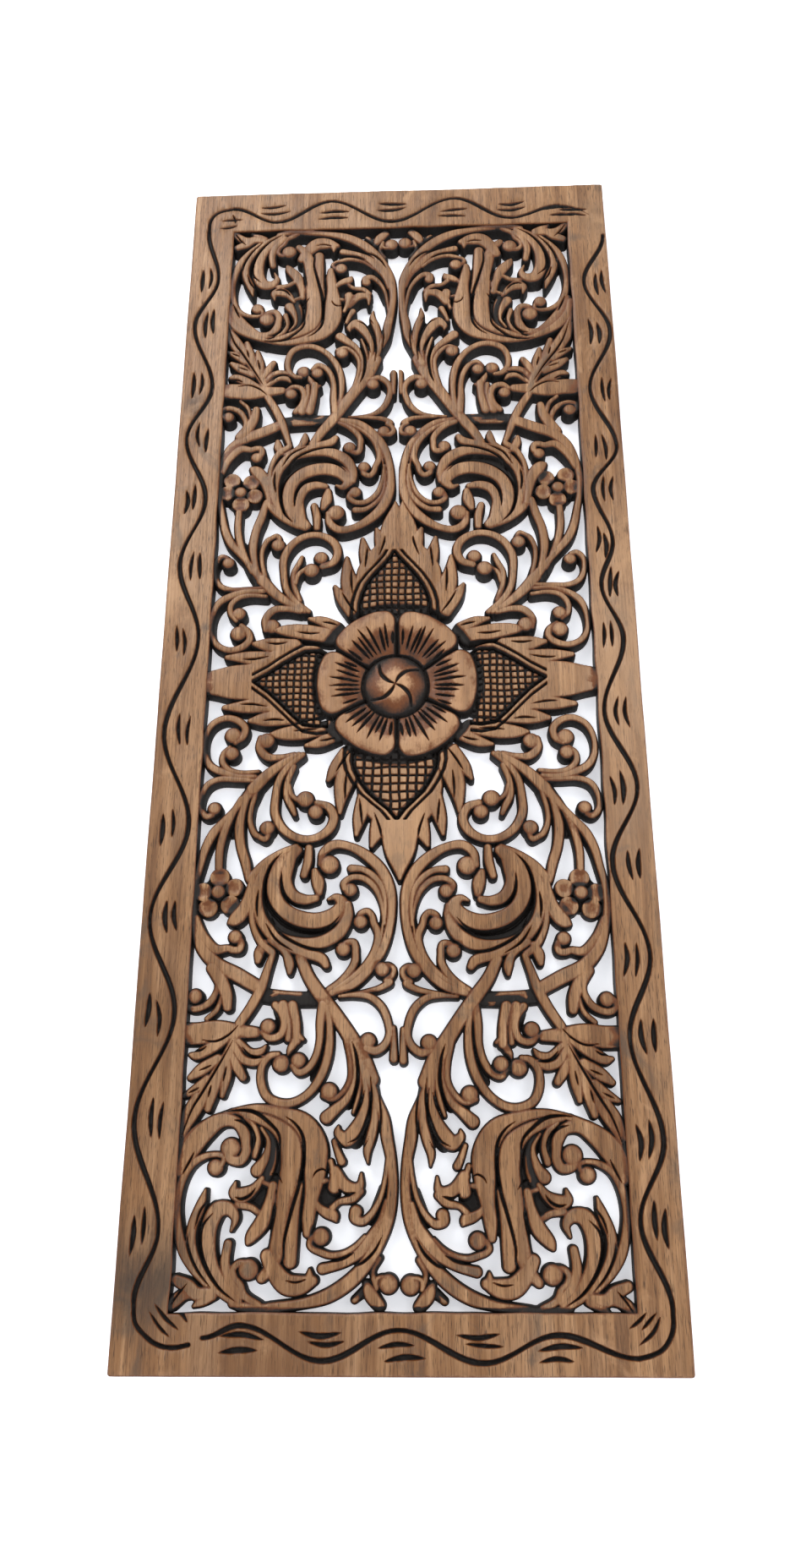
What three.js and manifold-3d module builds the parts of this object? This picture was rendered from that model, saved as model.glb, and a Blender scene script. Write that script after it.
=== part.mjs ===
// A carved wall panel: one teak board, pierced right through and carved on its front face.
// Millimetres. +X is to the right and +Z is up. The back lies in the plane y = 0, the front faces -Y.
// The origin is the middle of the flat back, behind the flower.
//
// The openwork is four mirrored quarters. A quarter is drawn in (u, v): u is the distance from the
// upright middle line and v the distance from the level middle line. Every strand of the carving is
// a list of [u, v, width] stations that a smooth curve runs through.

import * as THREE from 'three';
import { mergeVertices } from 'three/addons/utils/BufferGeometryUtils.js';
import Module from 'manifold-3d';

// ---- driving dimensions -------------------------------------------------------------------------

const PANEL_WIDTH = 343;
const PANEL_HEIGHT = 902;
const BOARD = 12.7;              // thickness of the board, back to frame face
const FIELD_DROP = 3;            // the pattern's middle lies this far below the panel's middle
const OPENING_HALF_WIDTH = 139;
const OPENING_HALF_HEIGHT = 414;
const CORNER_RADIUS = 4;         // rounded corners of the board
const CORNER_STEPS = 1;          // two facets round each of those corners
const RELIEF_TOP = BOARD - 1;    // the carving stands a little below the frame face

const CURVE_STEPS = 10;          // points tried between two stations
const CURVE_TOLERANCE = 1.5;     // a facet may leave the true curve by this much
const BOSS_SIDES = 6;
const SLIVER = 2.3;              // unevenness left out of a strand or leaf where strands run together
const FINE_SLIVER = 0.4;         // unevenness left out of the finished panel

const FLOWER_RADIUS = 58;
const HUB_RADIUS = 23;
const ROUND_SIDES = 12;          // facets round the hub and the flower's backing
const PETALS = 6;

const WAVE_WIDTH = 2.6;
const WAVE_DEPTH = 2;

const TEAK = new THREE.MeshStandardMaterial({ color: 0xa97b52, roughness: 0.62, metalness: 0 });

// ---- the quarter, strand by strand --------------------------------------------------------------

const strand = (...stations) => ({ stations });
const boss = (u, v, radius) => ({ centre: [u, v], radius });

const scrollStem = [
  strand([63, 203, 9], [49, 226, 11], [33, 250, 12], [23, 272, 20], [17, 292, 22], [12, 308, 17],
    [5.5, 326, 9], [4.5, 348, 9], [12, 374, 14], [30, 396, 12], [57, 409, 9], [80, 412, 9]),
  strand([14, 298, 8], [19.5, 330, 3]),
  strand([20, 292, 10], [25, 308, 12], [33, 317, 11], [39, 309, 4]),
  strand([28, 268, 8], [33, 290, 9], [47.5, 304.5, 9]),
  strand([32, 260, 6], [33, 282, 5.5], [45, 293, 5]),
  boss(44.5, 287, 6.2),
];

const lowerScroll = [
  strand([10, 362, 8], [22, 378, 9], [46.5, 390.5, 7.5]),
  strand([22, 376, 5], [36, 383, 5.5], [52, 378, 5.5]),
  boss(47.5, 373, 6.3),
  strand([7, 325, 5], [11, 348, 5], [20, 362, 6], [28, 359, 9]),
  strand([24, 337, 4], [28, 347, 13], [52, 350, 15]),
  strand([49, 352, 9], [40, 363, 5]),
  strand([38, 344, 8], [42, 314, 9]),
];

const crestLeaf = [
  strand([139, 337, 8], [124, 310.5, 8], [108, 301.5, 7], [90, 298.5, 8], [74, 303, 12],
    [61, 312, 18]),
  strand([82, 304, 12], [67, 322, 40], [66, 346, 34], [71, 376, 21], [77, 396, 16]),
  strand([53, 345, 9], [55.5, 372, 8]),
  strand([80, 348, 10], [92.5, 377, 5]),
  strand([82, 322, 5], [89.5, 337.5, 8]),
  strand([80, 345, 9], [88, 352, 18], [103, 350, 8]),
  strand([54, 393, 6], [65, 399, 14], [80, 386, 14]),
];

const outerCurls = [
  boss(106.3, 323.5, 7.3),
  strand([104, 331, 5], [96.5, 321, 9], [103, 308.5, 9], [118, 310, 11], [134, 328, 11],
    [139, 342, 7]),
  boss(114.5, 335, 6.2),
  strand([112, 329, 5], [123, 329, 6], [135, 346, 7], [135, 370, 7], [115, 402, 6]),
  strand([102, 369, 4], [103, 359, 8], [116, 366, 13], [116, 387, 16], [92, 411, 6]),
  strand([119, 349, 4], [126, 370, 9], [116, 398, 9]),
  strand([104.5, 377, 7.5], [95, 407, 7]),
  boss(91, 391.5, 7.2),
  strand([96, 389, 5], [97, 401, 7], [82, 412, 7]),
  strand([70, 413, 7], [112, 409, 7], [137, 400, 9]),
];

const foot = [
  boss(6.6, 398, 6.8),
  strand([13, 396, 8], [18, 415, 11]),
];

const loops = [
  strand([51, 226, 11], [47.5, 250, 12], [49, 268, 11]),
  strand([53, 264, 7], [68, 274, 6.5]),
  boss(64.5, 268.5, 6),
  strand([46.5, 264, 7], [55, 287, 7], [72, 295.5, 7], [87.5, 286, 7.5], [86, 269, 6.5]),
  boss(76.5, 270, 7),
];

const middleCurls = [
  boss(10, 208.5, 6),
  strand([4, 206, 5], [5, 217, 6.5], [34, 224, 5]),
  strand([36, 224, 5], [15, 227, 6], [6, 247, 7], [18, 261, 7]),
  boss(19.5, 254.7, 6.2),
  strand([3.4, 244, 5], [3.4, 268, 7]),
];

const upperScroll = [
  strand([44, 224, 8], [21, 209, 12], [8, 184, 12], [6.5, 160, 13], [14, 140, 10], [30, 125, 9],
    [50, 127, 8]),
  boss(46, 136.5, 8),
  strand([8, 165, 8], [17, 147, 9], [31, 140.5, 6.5]),
  strand([18, 149, 5], [35, 153, 8]),
  strand([26, 172, 5], [14, 175, 7], [16, 198, 7], [34, 217, 6]),
  boss(24.5, 177.3, 5.8),
  strand([30, 191, 6], [28, 204, 7], [46, 223, 6]),
  boss(35.8, 195.5, 6),
];

const paisley = [
  strand([45, 161, 4], [37, 166, 12], [42, 178, 20], [62, 184, 24], [83, 168, 27], [83, 144, 20],
    [72, 128, 10]),
  strand([101, 149, 6], [76, 128, 8]),
  strand([71, 132, 8], [74, 150, 9], [54, 162, 7]),
  strand([60, 125, 7], [63, 145, 7]),
  strand([57, 141, 6], [53, 158, 7.5]),
  strand([97, 148, 9], [112, 178, 7]),
  strand([94, 160, 11], [91, 203, 6]),
  strand([86, 188, 9], [71, 211, 4]),
  strand([80, 191, 9], [47, 206, 5]),
];

const smallFlower = [
  boss(120, 146.5, 7),
  boss(109.5, 154.5, 7.5),
  boss(112.5, 166.5, 7.5),
  boss(127, 168, 7.5),
  boss(131, 156, 7.5),
  boss(120.5, 157, 6),
];

const frameVine = [
  strand([99, 80, 12], [114, 104, 22], [117, 120, 14]),
  strand([108, 108, 8], [101, 148, 7]),
  strand([119, 112, 8], [121, 143, 7]),
  strand([122, 106, 9], [136, 146, 7.5], [136.5, 178, 8], [120, 206, 11], [88, 222, 11]),
  strand([99, 84, 5], [101, 106, 5.5], [90, 118, 6]),
  boss(89, 111.3, 6.4),
  boss(107.5, 188, 5.8),
  strand([103, 190, 6], [116, 197.5, 8], [136, 172, 6]),
];

const branch = [
  strand([62, 54, 8], [101, 84, 12]),
  strand([66, 58, 6], [83, 80, 7.5], [79, 111, 7.5], [62, 119.5, 7], [45, 108, 8.5], [54, 92, 6.5]),
  boss(56, 99.5, 6.3),
  strand([74, 68, 6], [70.5, 100, 5]),
  boss(63.3, 90, 7),
  boss(92, 48, 6.8),
  strand([97, 46, 5], [93, 58, 7], [70, 57, 6]),
];

const frameCurl = [
  strand([110, 48, 5], [112, 33, 7], [131, 35.5, 6.5], [134.5, 61, 6.5], [97, 74, 7]),
  boss(116, 45.5, 7),
  boss(115.5, 56, 6.2),
  strand([121, 55, 6], [117, 68, 6], [93, 68, 5]),
  strand([98, 78, 6], [127, 77.5, 6], [136, 96, 6]),
  boss(127.3, 98, 6.5),
];

const between = [
  strand([54, 226.5, 11], [90, 225, 11]),
  strand([82, 197, 6], [104, 248, 9]),
  strand([74, 230, 15], [67, 256, 9]),
  strand([78, 232, 7], [76, 251, 7], [89, 251, 6]),
  boss(84.5, 247, 5.8),
  strand([121, 210, 11], [111.5, 236, 8]),
  strand([119, 220, 6], [126, 235, 7], [139, 236, 6]),
  boss(133, 228, 6),
];

const sideLeaf = [
  strand([91, 251, 10], [141, 252, 16]),
  strand([104, 250, 12], [116, 276, 17], [139, 328, 4]),
  strand([106, 262, 9], [86, 265.5, 10]),
  strand([109, 268, 8], [112, 293, 5]),
  strand([116, 280, 8], [121, 300, 5]),
  strand([114, 258, 8], [134, 266, 5]),
  strand([118, 272, 8], [134, 280, 4]),
  strand([124, 284, 8], [137.5, 292, 4]),
];

// Main V-shaped cuts that part the strands of a broad form, as [u, v, width] stations.
const QUARTER_CUTS = [
  [[18, 272, 2], [18, 294, 3], [33, 319, 1]],
  [[29, 258, 2], [27, 278, 3.4], [34, 300, 3.4]],
  [[10, 369, 2], [29, 390, 3]],
  [[102, 301.5, 2], [66, 312, 3.4], [62, 342, 3.4], [70, 389, 2]],
  [[104, 303, 2], [79, 315, 3.4], [79, 358, 2]],
  [[112, 358, 1.6], [121, 376, 3.4], [98, 409, 2]],
  [[78, 129, 2], [89, 152, 3.6], [70, 181, 3.4], [38, 173, 1.4]],
  [[93, 152, 2], [91, 182, 3], [64, 196, 2]],
  [[104, 84, 2], [116, 122, 4]],
  [[105, 252, 2], [139, 322, 2]],
  [[16, 206, 1.6], [8.5, 172, 3], [18, 144, 2]],
];

const QUARTER = [
  scrollStem, lowerScroll, crestLeaf, outerCurls, foot, loops, middleCurls, upperScroll, paisley,
  smallFlower, frameVine, branch, frameCurl, between, sideLeaf,
].flat();

// The lotus below the flower, on the upright middle line; it is mirrored above the flower.
const UPRIGHT_LOTUS = {
  body: [
    [0, 50, 66], [0, 72, 74], [0, 98, 50], [0, 113, 34], [0, 123, 37], [0, 133, 18], [0, 148, 3],
  ],
  tips: [
    strand([36, 50, 10], [51, 76.5, 5]),
    strand([35, 60, 14], [37.5, 86, 14], [41, 101.5, 4]),
    strand([24, 88, 14], [29.5, 116.5, 5]),
  ],
  pod: [[0, 54, 48], [0, 72, 53], [0, 88, 32], [0, 102, 2]],
};

// The lotus beside the flower, on the level middle line; it is mirrored on the other side.
const LEVEL_LOTUS = {
  body: [[50, 0, 70], [68, 0, 76], [92, 0, 44], [112, 0, 31], [131, 0, 18], [142, 0, 12]],
  tips: [
    strand([42, 43, 8], [66, 50, 5]),
    strand([54, 38, 10], [72, 42, 11], [90, 41, 4]),
    strand([76, 28, 13], [107, 31, 5]),
    strand([94, 17, 14], [125.8, 19, 5]),
  ],
  pod: [[54, 0, 50], [64, 0, 55], [80, 0, 32], [100, 0, 2]],
};

// ---- solids -------------------------------------------------------------------------------------

const wasm = await Module();
wasm.setup();

function solid(geometry) {
  const bare = geometry.index ? geometry.toNonIndexed() : geometry.clone();
  bare.deleteAttribute('normal');
  bare.deleteAttribute('uv');
  const merged = mergeVertices(bare, 1e-4);
  return new wasm.Manifold(new wasm.Mesh({
    numProp: 3,
    vertProperties: new Float32Array(merged.attributes.position.array),
    triVerts: new Uint32Array(merged.index.array),
  }));
}

function union(solids) {
  let pile = solids;
  while (pile.length > 1) {
    const joined = [];
    for (let i = 0; i < pile.length; i += 2) {
      joined.push(i + 1 < pile.length ? pile[i].add(pile[i + 1]) : pile[i]);
    }
    pile = joined;
  }
  return pile[0];
}

// A closed body from rings of points, each ring with the same count, with flat ends.
// A closed loop of rings has no ends.
function loft(rings, loop = false) {
  const count = rings[0].length;
  const positions = rings.flat().flatMap((point) => [point.x, point.y, point.z]);
  const index = [];
  const spans = loop ? rings.length : rings.length - 1;
  for (let i = 0; i < spans; i += 1) {
    const near = i * count;
    const far = ((i + 1) % rings.length) * count;
    for (let j = 0; j < count; j += 1) {
      const k = (j + 1) % count;
      index.push(near + j, near + k, far + j, near + k, far + k, far + j);
    }
  }
  if (!loop) {
    const last = (rings.length - 1) * count;
    for (let j = 1; j < count - 1; j += 1) {
      index.push(0, j + 1, j, last, last + j, last + j + 1);
    }
  }
  const geometry = new THREE.BufferGeometry();
  geometry.setAttribute('position', new THREE.Float32BufferAttribute(positions, 3));
  geometry.setIndex(signedVolume(positions, index) < 0 ? index.reverse() : index);
  return geometry;
}

function signedVolume(positions, index) {
  const corner = (i) => new THREE.Vector3().fromArray(positions, 3 * i);
  let volume = 0;
  for (let i = 0; i < index.length; i += 3) {
    volume += corner(index[i]).dot(corner(index[i + 1]).cross(corner(index[i + 2]))) / 6;
  }
  return volume;
}

// The curve through the stations, with only the points that keep it within the tolerance.
function trace(stations) {
  const knots = stations.map((station) => new THREE.Vector3(...station));
  const curve = new THREE.CatmullRomCurve3(knots, false, 'centripetal');
  const points = curve.getPoints(CURVE_STEPS * (stations.length - 1));
  const keep = new Set([0, points.length - 1]);
  const split = (first, last) => {
    const chord = new THREE.Line3(points[first], points[last]);
    let worst = first;
    let error = CURVE_TOLERANCE;
    for (let i = first + 1; i < last; i += 1) {
      const nearest = chord.closestPointToPoint(points[i], true, new THREE.Vector3());
      const distance = nearest.distanceTo(points[i]);
      if (distance > error) {
        worst = i;
        error = distance;
      }
    }
    if (worst !== first) {
      keep.add(worst);
      split(first, worst);
      split(worst, last);
    }
  };
  split(0, points.length - 1);
  return [...keep].sort((a, b) => a - b).map((i) => points[i]);
}

const LEAST_HALF_WIDTH = 0.3;    // keeps a tip from closing to a knife edge

// Point, sideways direction, half width and bend of the curve at each traced point.
function stationsAlong(points) {
  return points.map((point, i) => {
    const before = points[Math.max(i - 1, 0)];
    const after = points[Math.min(i + 1, points.length - 1)];
    const along = new THREE.Vector2(after.x - before.x, after.y - before.y).normalize();
    let bend = 0;
    if (i > 0 && i < points.length - 1) {
      const into = new THREE.Vector2(point.x - before.x, point.y - before.y);
      const out = new THREE.Vector2(after.x - point.x, after.y - point.y);
      const turn = Math.atan2(into.cross(out), into.dot(out));
      bend = 2 * turn / (into.length() + out.length());
    }
    const half = Math.max(point.z / 2, LEAST_HALF_WIDTH);
    return { u: point.x, v: point.y, side: [-along.y, along.x], half, bend };
  });
}

const BEND_REACH = 0.85;         // share of the way to a bend's centre that its inner wall may take

// The walls run square from the back to the top of the relief.
// On the inner side of a tight bend a wall stops short of the centre of the bend.
function strandSolid({ stations }, bottom = 0, top = RELIEF_TOP) {
  const rings = stationsAlong(trace(stations)).map(({ u, v, side, half, bend }) => {
    const place = (hand, depth) => {
      const inward = hand * bend > 0;
      const reach = hand * (inward ? Math.min(half, BEND_REACH / Math.abs(bend)) : half);
      return new THREE.Vector3(u + side[0] * reach, -depth, -(v + side[1] * reach));
    };
    return [place(-1, bottom), place(1, bottom), place(1, top), place(-1, top)];
  });
  return solid(loft(rings));
}

function discSolid([u, v], radius, bottom, top, sides = BOSS_SIDES) {
  const circle = (depth) => Array.from({ length: sides }, (_, i) => {
    const angle = 2 * Math.PI * i / sides;
    return new THREE.Vector3(u + radius * Math.cos(angle), -depth, -(v + radius * Math.sin(angle)));
  });
  return solid(loft([circle(bottom), circle(top)]));
}

function carve(item) {
  return item.centre ? discSolid(item.centre, item.radius, 0, RELIEF_TOP) : strandSolid(item);
}

// A solid with every corner moved by a rule.
function remade(body, rule, turned = false) {
  const mesh = body.getMesh();
  const index = Uint32Array.from(mesh.triVerts);
  return new wasm.Manifold(new wasm.Mesh({
    numProp: 3,
    vertProperties: Float32Array.from(mesh.vertProperties, (value, i) => rule(value, i % 3)),
    triVerts: turned ? index.reverse() : index,
  }));
}

// A mirrored copy of a solid: sx and sz are 1 or -1.
const mirrored = (body, sx, sz) => remade(body, (value, axis) => value * [sx, 1, sz][axis], sx * sz < 0);
const moved = (body, dz) => remade(body, (value, axis) => (axis === 2 ? value + dz : value));

// ---- V-shaped gouge cuts ------------------------------------------------------------------------

const CUT_SLOPE = 0.8;           // depth of a cut as a share of its width
const CUT_OVER = 1;              // the cutting body stands this far out of the relief

function gouge(stations) {
  const rings = stationsAlong(trace(stations)).map(({ u, v, side, half }) => {
    const at = (reach, depth) => new THREE.Vector3(u + side[0] * reach, -depth, -(v + side[1] * reach));
    const reach = half + CUT_OVER / CUT_SLOPE;
    return [
      at(reach, RELIEF_TOP + CUT_OVER),
      at(-reach, RELIEF_TOP + CUT_OVER),
      at(0, RELIEF_TOP - 2 * half * CUT_SLOPE),
    ];
  });
  return solid(loft(rings));
}

// ---- lotuses ------------------------------------------------------------------------------------

const POD_FLOOR = RELIEF_TOP - 4;     // bottom of the groove around a pod
const POD_SHOULDER = POD_FLOOR + 1.5;
const POD_CROWN = RELIEF_TOP - 0.6;
const POD_FOOT = 2;                   // a pod's underside lies this far inside the board
const POD_GROOVE = 1.5;               // width of the groove around a pod
const POD_FLAT = 0.6;                 // share of a pod's width that its crown takes

// The pod swells inside its groove: steep at the edge and flatter over the middle.
function podSolid(stations) {
  const rings = stationsAlong(trace(stations)).map(({ u, v, side, half }) => {
    const inner = Math.max(half - POD_GROOVE, LEAST_HALF_WIDTH);
    const at = (share, depth) => {
      const reach = inner * share;
      return new THREE.Vector3(u + side[0] * reach, -depth, -(v + side[1] * reach));
    };
    return [
      at(-1, POD_FOOT), at(1, POD_FOOT), at(1, POD_SHOULDER),
      at(POD_FLAT, POD_CROWN), at(-POD_FLAT, POD_CROWN), at(-1, POD_SHOULDER),
    ];
  });
  return solid(loft(rings));
}

function lotusSolid({ body, tips, pod }, flip) {
  const sides = tips.map(({ stations }) => strandSolid({ stations }));
  const leaf = union([strandSolid({ stations: body }), ...sides, ...sides.map(flip)]);
  const pocket = strandSolid({ stations: pod }, POD_FLOOR, BOARD);
  return leaf.asOriginal().simplify(SLIVER).subtract(pocket).add(podSolid(pod));
}

// ---- flower -------------------------------------------------------------------------------------

// Radius from the flower's centre and height over the back, from the hub outwards.
const PETAL_PROFILE = [[20, 7], [46, 11.3], [54, 10], [FLOWER_RADIUS, 5]];
const HUB_PROFILE = [[0, 0], [HUB_RADIUS, 0], [HUB_RADIUS, 8], [16, 11.3], [0, 12.4]];
const PETAL_SLICES = 4;
const PETAL_GAP = 0.02;          // radians left free on each side of a petal
const PETAL_ROUNDING = 0.1;      // share of the radius lost at a petal's edge
const PETAL_SINK = 2;            // a petal's edge lies this much lower than its middle
const BACKING_RADIUS = 52;
const BACKING_HEIGHT = 4.6;

function petalSolid(number) {
  const middle = number * 2 * Math.PI / PETALS;
  const rings = Array.from({ length: PETAL_SLICES + 1 }, (_, i) => {
    const across = 2 * i / PETAL_SLICES - 1;
    const angle = middle + across * (Math.PI / PETALS - PETAL_GAP);
    const shrink = 1 - PETAL_ROUNDING * Math.abs(across) ** 5;
    const sink = PETAL_SINK * Math.abs(across) ** 6;
    const at = (radius, depth) => new THREE.Vector3(radius * Math.cos(angle), -depth, radius * Math.sin(angle));
    const skin = PETAL_PROFILE.map(([radius, depth]) => at(radius * shrink, depth - sink));
    return [at(FLOWER_RADIUS * shrink, 0), at(PETAL_PROFILE[0][0], 0), ...skin];
  });
  return solid(loft(rings));
}

function hubSolid() {
  const profile = HUB_PROFILE.map(([radius, height]) => new THREE.Vector2(radius, height));
  return solid(new THREE.LatheGeometry(profile, ROUND_SIDES).rotateX(Math.PI));
}

function flowerSolid() {
  const petals = Array.from({ length: PETALS }, (_, i) => petalSolid(i));
  const backing = discSolid([0, 0], BACKING_RADIUS, 0, BACKING_HEIGHT, ROUND_SIDES);
  return union([...petals, backing, hubSolid()]);
}

// ---- frame --------------------------------------------------------------------------------------

function roundedRectangle(halfWidth, halfHeight, corner) {
  const shape = new THREE.Shape();
  shape.moveTo(halfWidth - corner, -halfHeight);
  shape.absarc(halfWidth - corner, -halfHeight + corner, corner, -Math.PI / 2, 0);
  shape.absarc(halfWidth - corner, halfHeight - corner, corner, 0, Math.PI / 2);
  shape.absarc(-halfWidth + corner, halfHeight - corner, corner, Math.PI / 2, Math.PI);
  shape.absarc(-halfWidth + corner, -halfHeight + corner, corner, Math.PI, 1.5 * Math.PI);
  return shape;
}

// An outline in (x, z) pushed from the back to the frame face.
function plank(shape) {
  const options = { depth: BOARD, bevelEnabled: false, curveSegments: CORNER_STEPS };
  return new THREE.ExtrudeGeometry(shape, options).rotateX(Math.PI / 2);
}

function frameSolid() {
  const shape = roundedRectangle(PANEL_WIDTH / 2, PANEL_HEIGHT / 2, CORNER_RADIUS);
  const hole = new THREE.Path();
  const [w, h, dz] = [OPENING_HALF_WIDTH, OPENING_HALF_HEIGHT, -FIELD_DROP];
  hole.moveTo(-w, dz - h).lineTo(-w, dz + h).lineTo(w, dz + h).lineTo(w, dz - h);
  shape.holes.push(hole);
  return solid(plank(shape));
}

// The wavy line swings between an outer and an inner crest along each rail and rounds the corners.
const WAVE_RAILS = [
  { start: [-163, 411], end: [-163, -411], inward: [17, 0], waves: 7 },
  { start: [-141, -443.5], end: [143, -443.5], inward: [0, 20], waves: 3 },
  { start: [163, -411], end: [163, 411], inward: [-17, 0], waves: 8 },
  { start: [134, 440], end: [-136, 440], inward: [0, -21], waves: 3 },
];
const WAVE_CORNERS = [[-158, -434], [158, -434], [157, 432], [-157, 432]];
const WAVE_STEPS = 2;            // rings of the cut from one crest to the next
const WAVE_OVER = 0.8;           // the cutting body stands this far out of the frame face

function waveSolid() {
  const knots = WAVE_RAILS.flatMap(({ start, end, inward, waves }, rail) => {
    const crests = Array.from({ length: 2 * waves + 1 }, (_, k) => {
      const along = k / (2 * waves);
      return [0, 1].map((axis) => start[axis] + (end[axis] - start[axis]) * along + inward[axis] * (k % 2));
    });
    return [...crests, WAVE_CORNERS[rail]];
  }).map(([x, z]) => new THREE.Vector3(x, z, 0));
  const curve = new THREE.CatmullRomCurve3(knots, true, 'centripetal');
  const count = WAVE_STEPS * knots.length;
  const reach = (WAVE_WIDTH / 2) * (1 + WAVE_OVER / WAVE_DEPTH);
  const rings = Array.from({ length: count }, (_, i) => {
    const point = curve.getPoint(i / count);
    const along = curve.getTangent(i / count);
    const at = (side, height) => {
      return new THREE.Vector3(point.x - along.y * side, -height, point.y + along.x * side);
    };
    return [at(reach, BOARD + WAVE_OVER), at(-reach, BOARD + WAVE_OVER), at(0, BOARD - WAVE_DEPTH)];
  });
  return solid(loft(rings, true));
}

// ---- assembly -----------------------------------------------------------------------------------

const QUARTERS = [[1, 1], [-1, 1], [1, -1], [-1, -1]];

const quarter = union(QUARTER.map(carve)).asOriginal().simplify(SLIVER);
const lowerLotus = lotusSolid(UPRIGHT_LOTUS, (body) => mirrored(body, -1, 1));
const sideLotus = lotusSolid(LEVEL_LOTUS, (body) => mirrored(body, 1, -1));
const openwork = union([
  ...QUARTERS.map(([sx, sz]) => mirrored(quarter, sx, sz)),
  lowerLotus, mirrored(lowerLotus, 1, -1), sideLotus, mirrored(sideLotus, -1, 1),
]);

const cuts = QUARTER_CUTS.map(gouge);
const mirroredCuts = QUARTERS.flatMap(([sx, sz]) => cuts.map((cut) => mirrored(cut, sx, sz)));
const carved = mirroredCuts.reduce((body, cut) => body.subtract(cut), openwork);
const field = moved(union([carved, flowerSolid()]), -FIELD_DROP);

const panelSolid = field.add(frameSolid()).subtract(waveSolid()).asOriginal().simplify(FINE_SLIVER);

function meshFrom(body, name, material) {
  const { vertProperties, triVerts } = body.getMesh();
  const geometry = new THREE.BufferGeometry();
  geometry.setAttribute('position', new THREE.Float32BufferAttribute(vertProperties, 3));
  geometry.setIndex([...triVerts]);
  geometry.computeVertexNormals();
  const mesh = new THREE.Mesh(geometry, material);
  mesh.name = name;
  return mesh;
}

const panel = new THREE.Group();
panel.add(meshFrom(panelSolid, 'carved_panel', TEAK));

export default panel;
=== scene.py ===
"""Looks of the carved wall panel: the pierced and carved board, its stained teak, and the studio.

The carving is a height field over the panel. Every strand, knob, leaf and groove is a smooth
curve with a width; together they give how far the wood stands out at each point, and the
outline of the openwork. Lengths in the tables are millimetres, and meshes are metres.
"""

import math

import bpy
import numpy as np
from mathutils import Matrix, Vector


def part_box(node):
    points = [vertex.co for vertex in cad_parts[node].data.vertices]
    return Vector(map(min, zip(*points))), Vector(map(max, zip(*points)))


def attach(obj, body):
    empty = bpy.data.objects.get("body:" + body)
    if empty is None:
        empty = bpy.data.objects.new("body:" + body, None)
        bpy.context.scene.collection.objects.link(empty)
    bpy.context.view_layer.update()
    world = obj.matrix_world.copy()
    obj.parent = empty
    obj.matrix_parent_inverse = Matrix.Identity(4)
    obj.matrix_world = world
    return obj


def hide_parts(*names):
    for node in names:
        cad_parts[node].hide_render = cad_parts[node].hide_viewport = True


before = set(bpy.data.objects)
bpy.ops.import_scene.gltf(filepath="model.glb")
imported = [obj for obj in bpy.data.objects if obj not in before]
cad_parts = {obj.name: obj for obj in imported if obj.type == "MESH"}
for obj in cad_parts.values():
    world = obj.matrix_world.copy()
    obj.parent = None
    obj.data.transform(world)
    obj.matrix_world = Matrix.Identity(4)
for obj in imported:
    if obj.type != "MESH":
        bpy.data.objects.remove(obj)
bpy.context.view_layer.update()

MM = 0.001
low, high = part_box("carved_panel")
HALF_WIDTH = (high.x - low.x) / 2 / MM
HALF_HEIGHT = (high.z - low.z) / 2 / MM
BOARD = (high.y - low.y) / MM
FIELD_DROP = 3.0            # the pattern's middle lies this far below the panel's middle

STEP = 0.6                  # spacing of the height field
RELIEF_TOP = BOARD - 1.3    # the strands stand a little below the frame face
LIP = 0.9                   # how far a rounded edge falls
RIM = 1.7                   # width of a rounded edge
FLANK = 3.0                 # steepness of the cut beside a strand
FOOT = 0.8                  # a strand is this much wider at its foot, on each side
CROWN = 0.35                # how much a strand swells in the middle

UNEVEN_TOPS = 0.7           # the strands' faces differ by up to this much
GROUND_DROP = 6.0           # depth of the dark floors between strands
LEAST_HEIGHT = 3.0          # the walls of the openwork are at least this high
BACK_SETBACK = 0.04         # keeps the pieces' flat backs from lying exactly in one plane
POD_TOP = RELIEF_TOP - 0.5
FLOWER_MOAT = 2.6           # the lotuses are cut down round the flower
FLOWER_RADIUS = 58.5
FLOWER_AT = (-1.4, -5.0)    # middle of the petals, from the middle of the panel
FLOWER_STRETCH = (0.985, 1.02)              # it is a little taller than wide
HUB_AT = (-2.6, -7.2)       # the hub sits a little off the petals' middle
PETALS = 6
PETAL_ANGLE = 360 / PETALS
PETAL_REACH = (0.5, -1.0, 0.0, 0.6, -0.8, 0.2)
# The gouge cuts of a petal: degrees from its middle, and the distances where a cut starts and ends.
PETAL_GOUGES = [(-25, 31, 43), (-18, 28, 46), (-11, 26.5, 46), (-4.5, 26, 51), (3, 26, 49),
                (9.5, 26, 45), (16, 27, 48), (23.5, 30, 43)]
BOWL_FLOOR = 6.2            # height of the petals beside the hub
BOWL_RISE = 5.6             # how much higher they stand towards their ends
PETAL_GAP = 0.45            # half the gap between two petals
PETAL_CORNER = 9.0          # rounding of a petal's outer corners
PETAL_EDGE = 2.9            # width of a petal's rounded rim
PETAL_FALL = 3.0            # how far that rim falls
HUB_RADIUS = 23.0
HUB_FALL = 4.6              # how far the dome falls towards its edge
HUB_LIP = 1.6               # and how far its rounded edge falls below that
HUB_RING_DEPTH = 2.2        # the groove in the petals round the hub
SWIRL_REACH = 20.5          # length of the hub's curved arms
SWIRL_END = 34              # degrees; where the first arm ends
SWIRL_TURN = 34             # degrees that an arm turns on its way out
HUB_TOP = BOARD - 0.1
WAVE_WIDTH = 3.9            # the wavy line on the frame
WAVE_DEPTH = 3.0
GOUGE_SLOPE = 1.8           # steepness of the cuts in the frame
GOUGE_DEPTH = 2.8
POD_SWELL = 1.5             # how far a pod falls from its middle to its sides
POD_GROOVES = ((0.0, 1.5), (-4.2, 1.4))     # distance inside the pod's edge, and half the width
CORNER_RADIUS = 1.8
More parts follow.
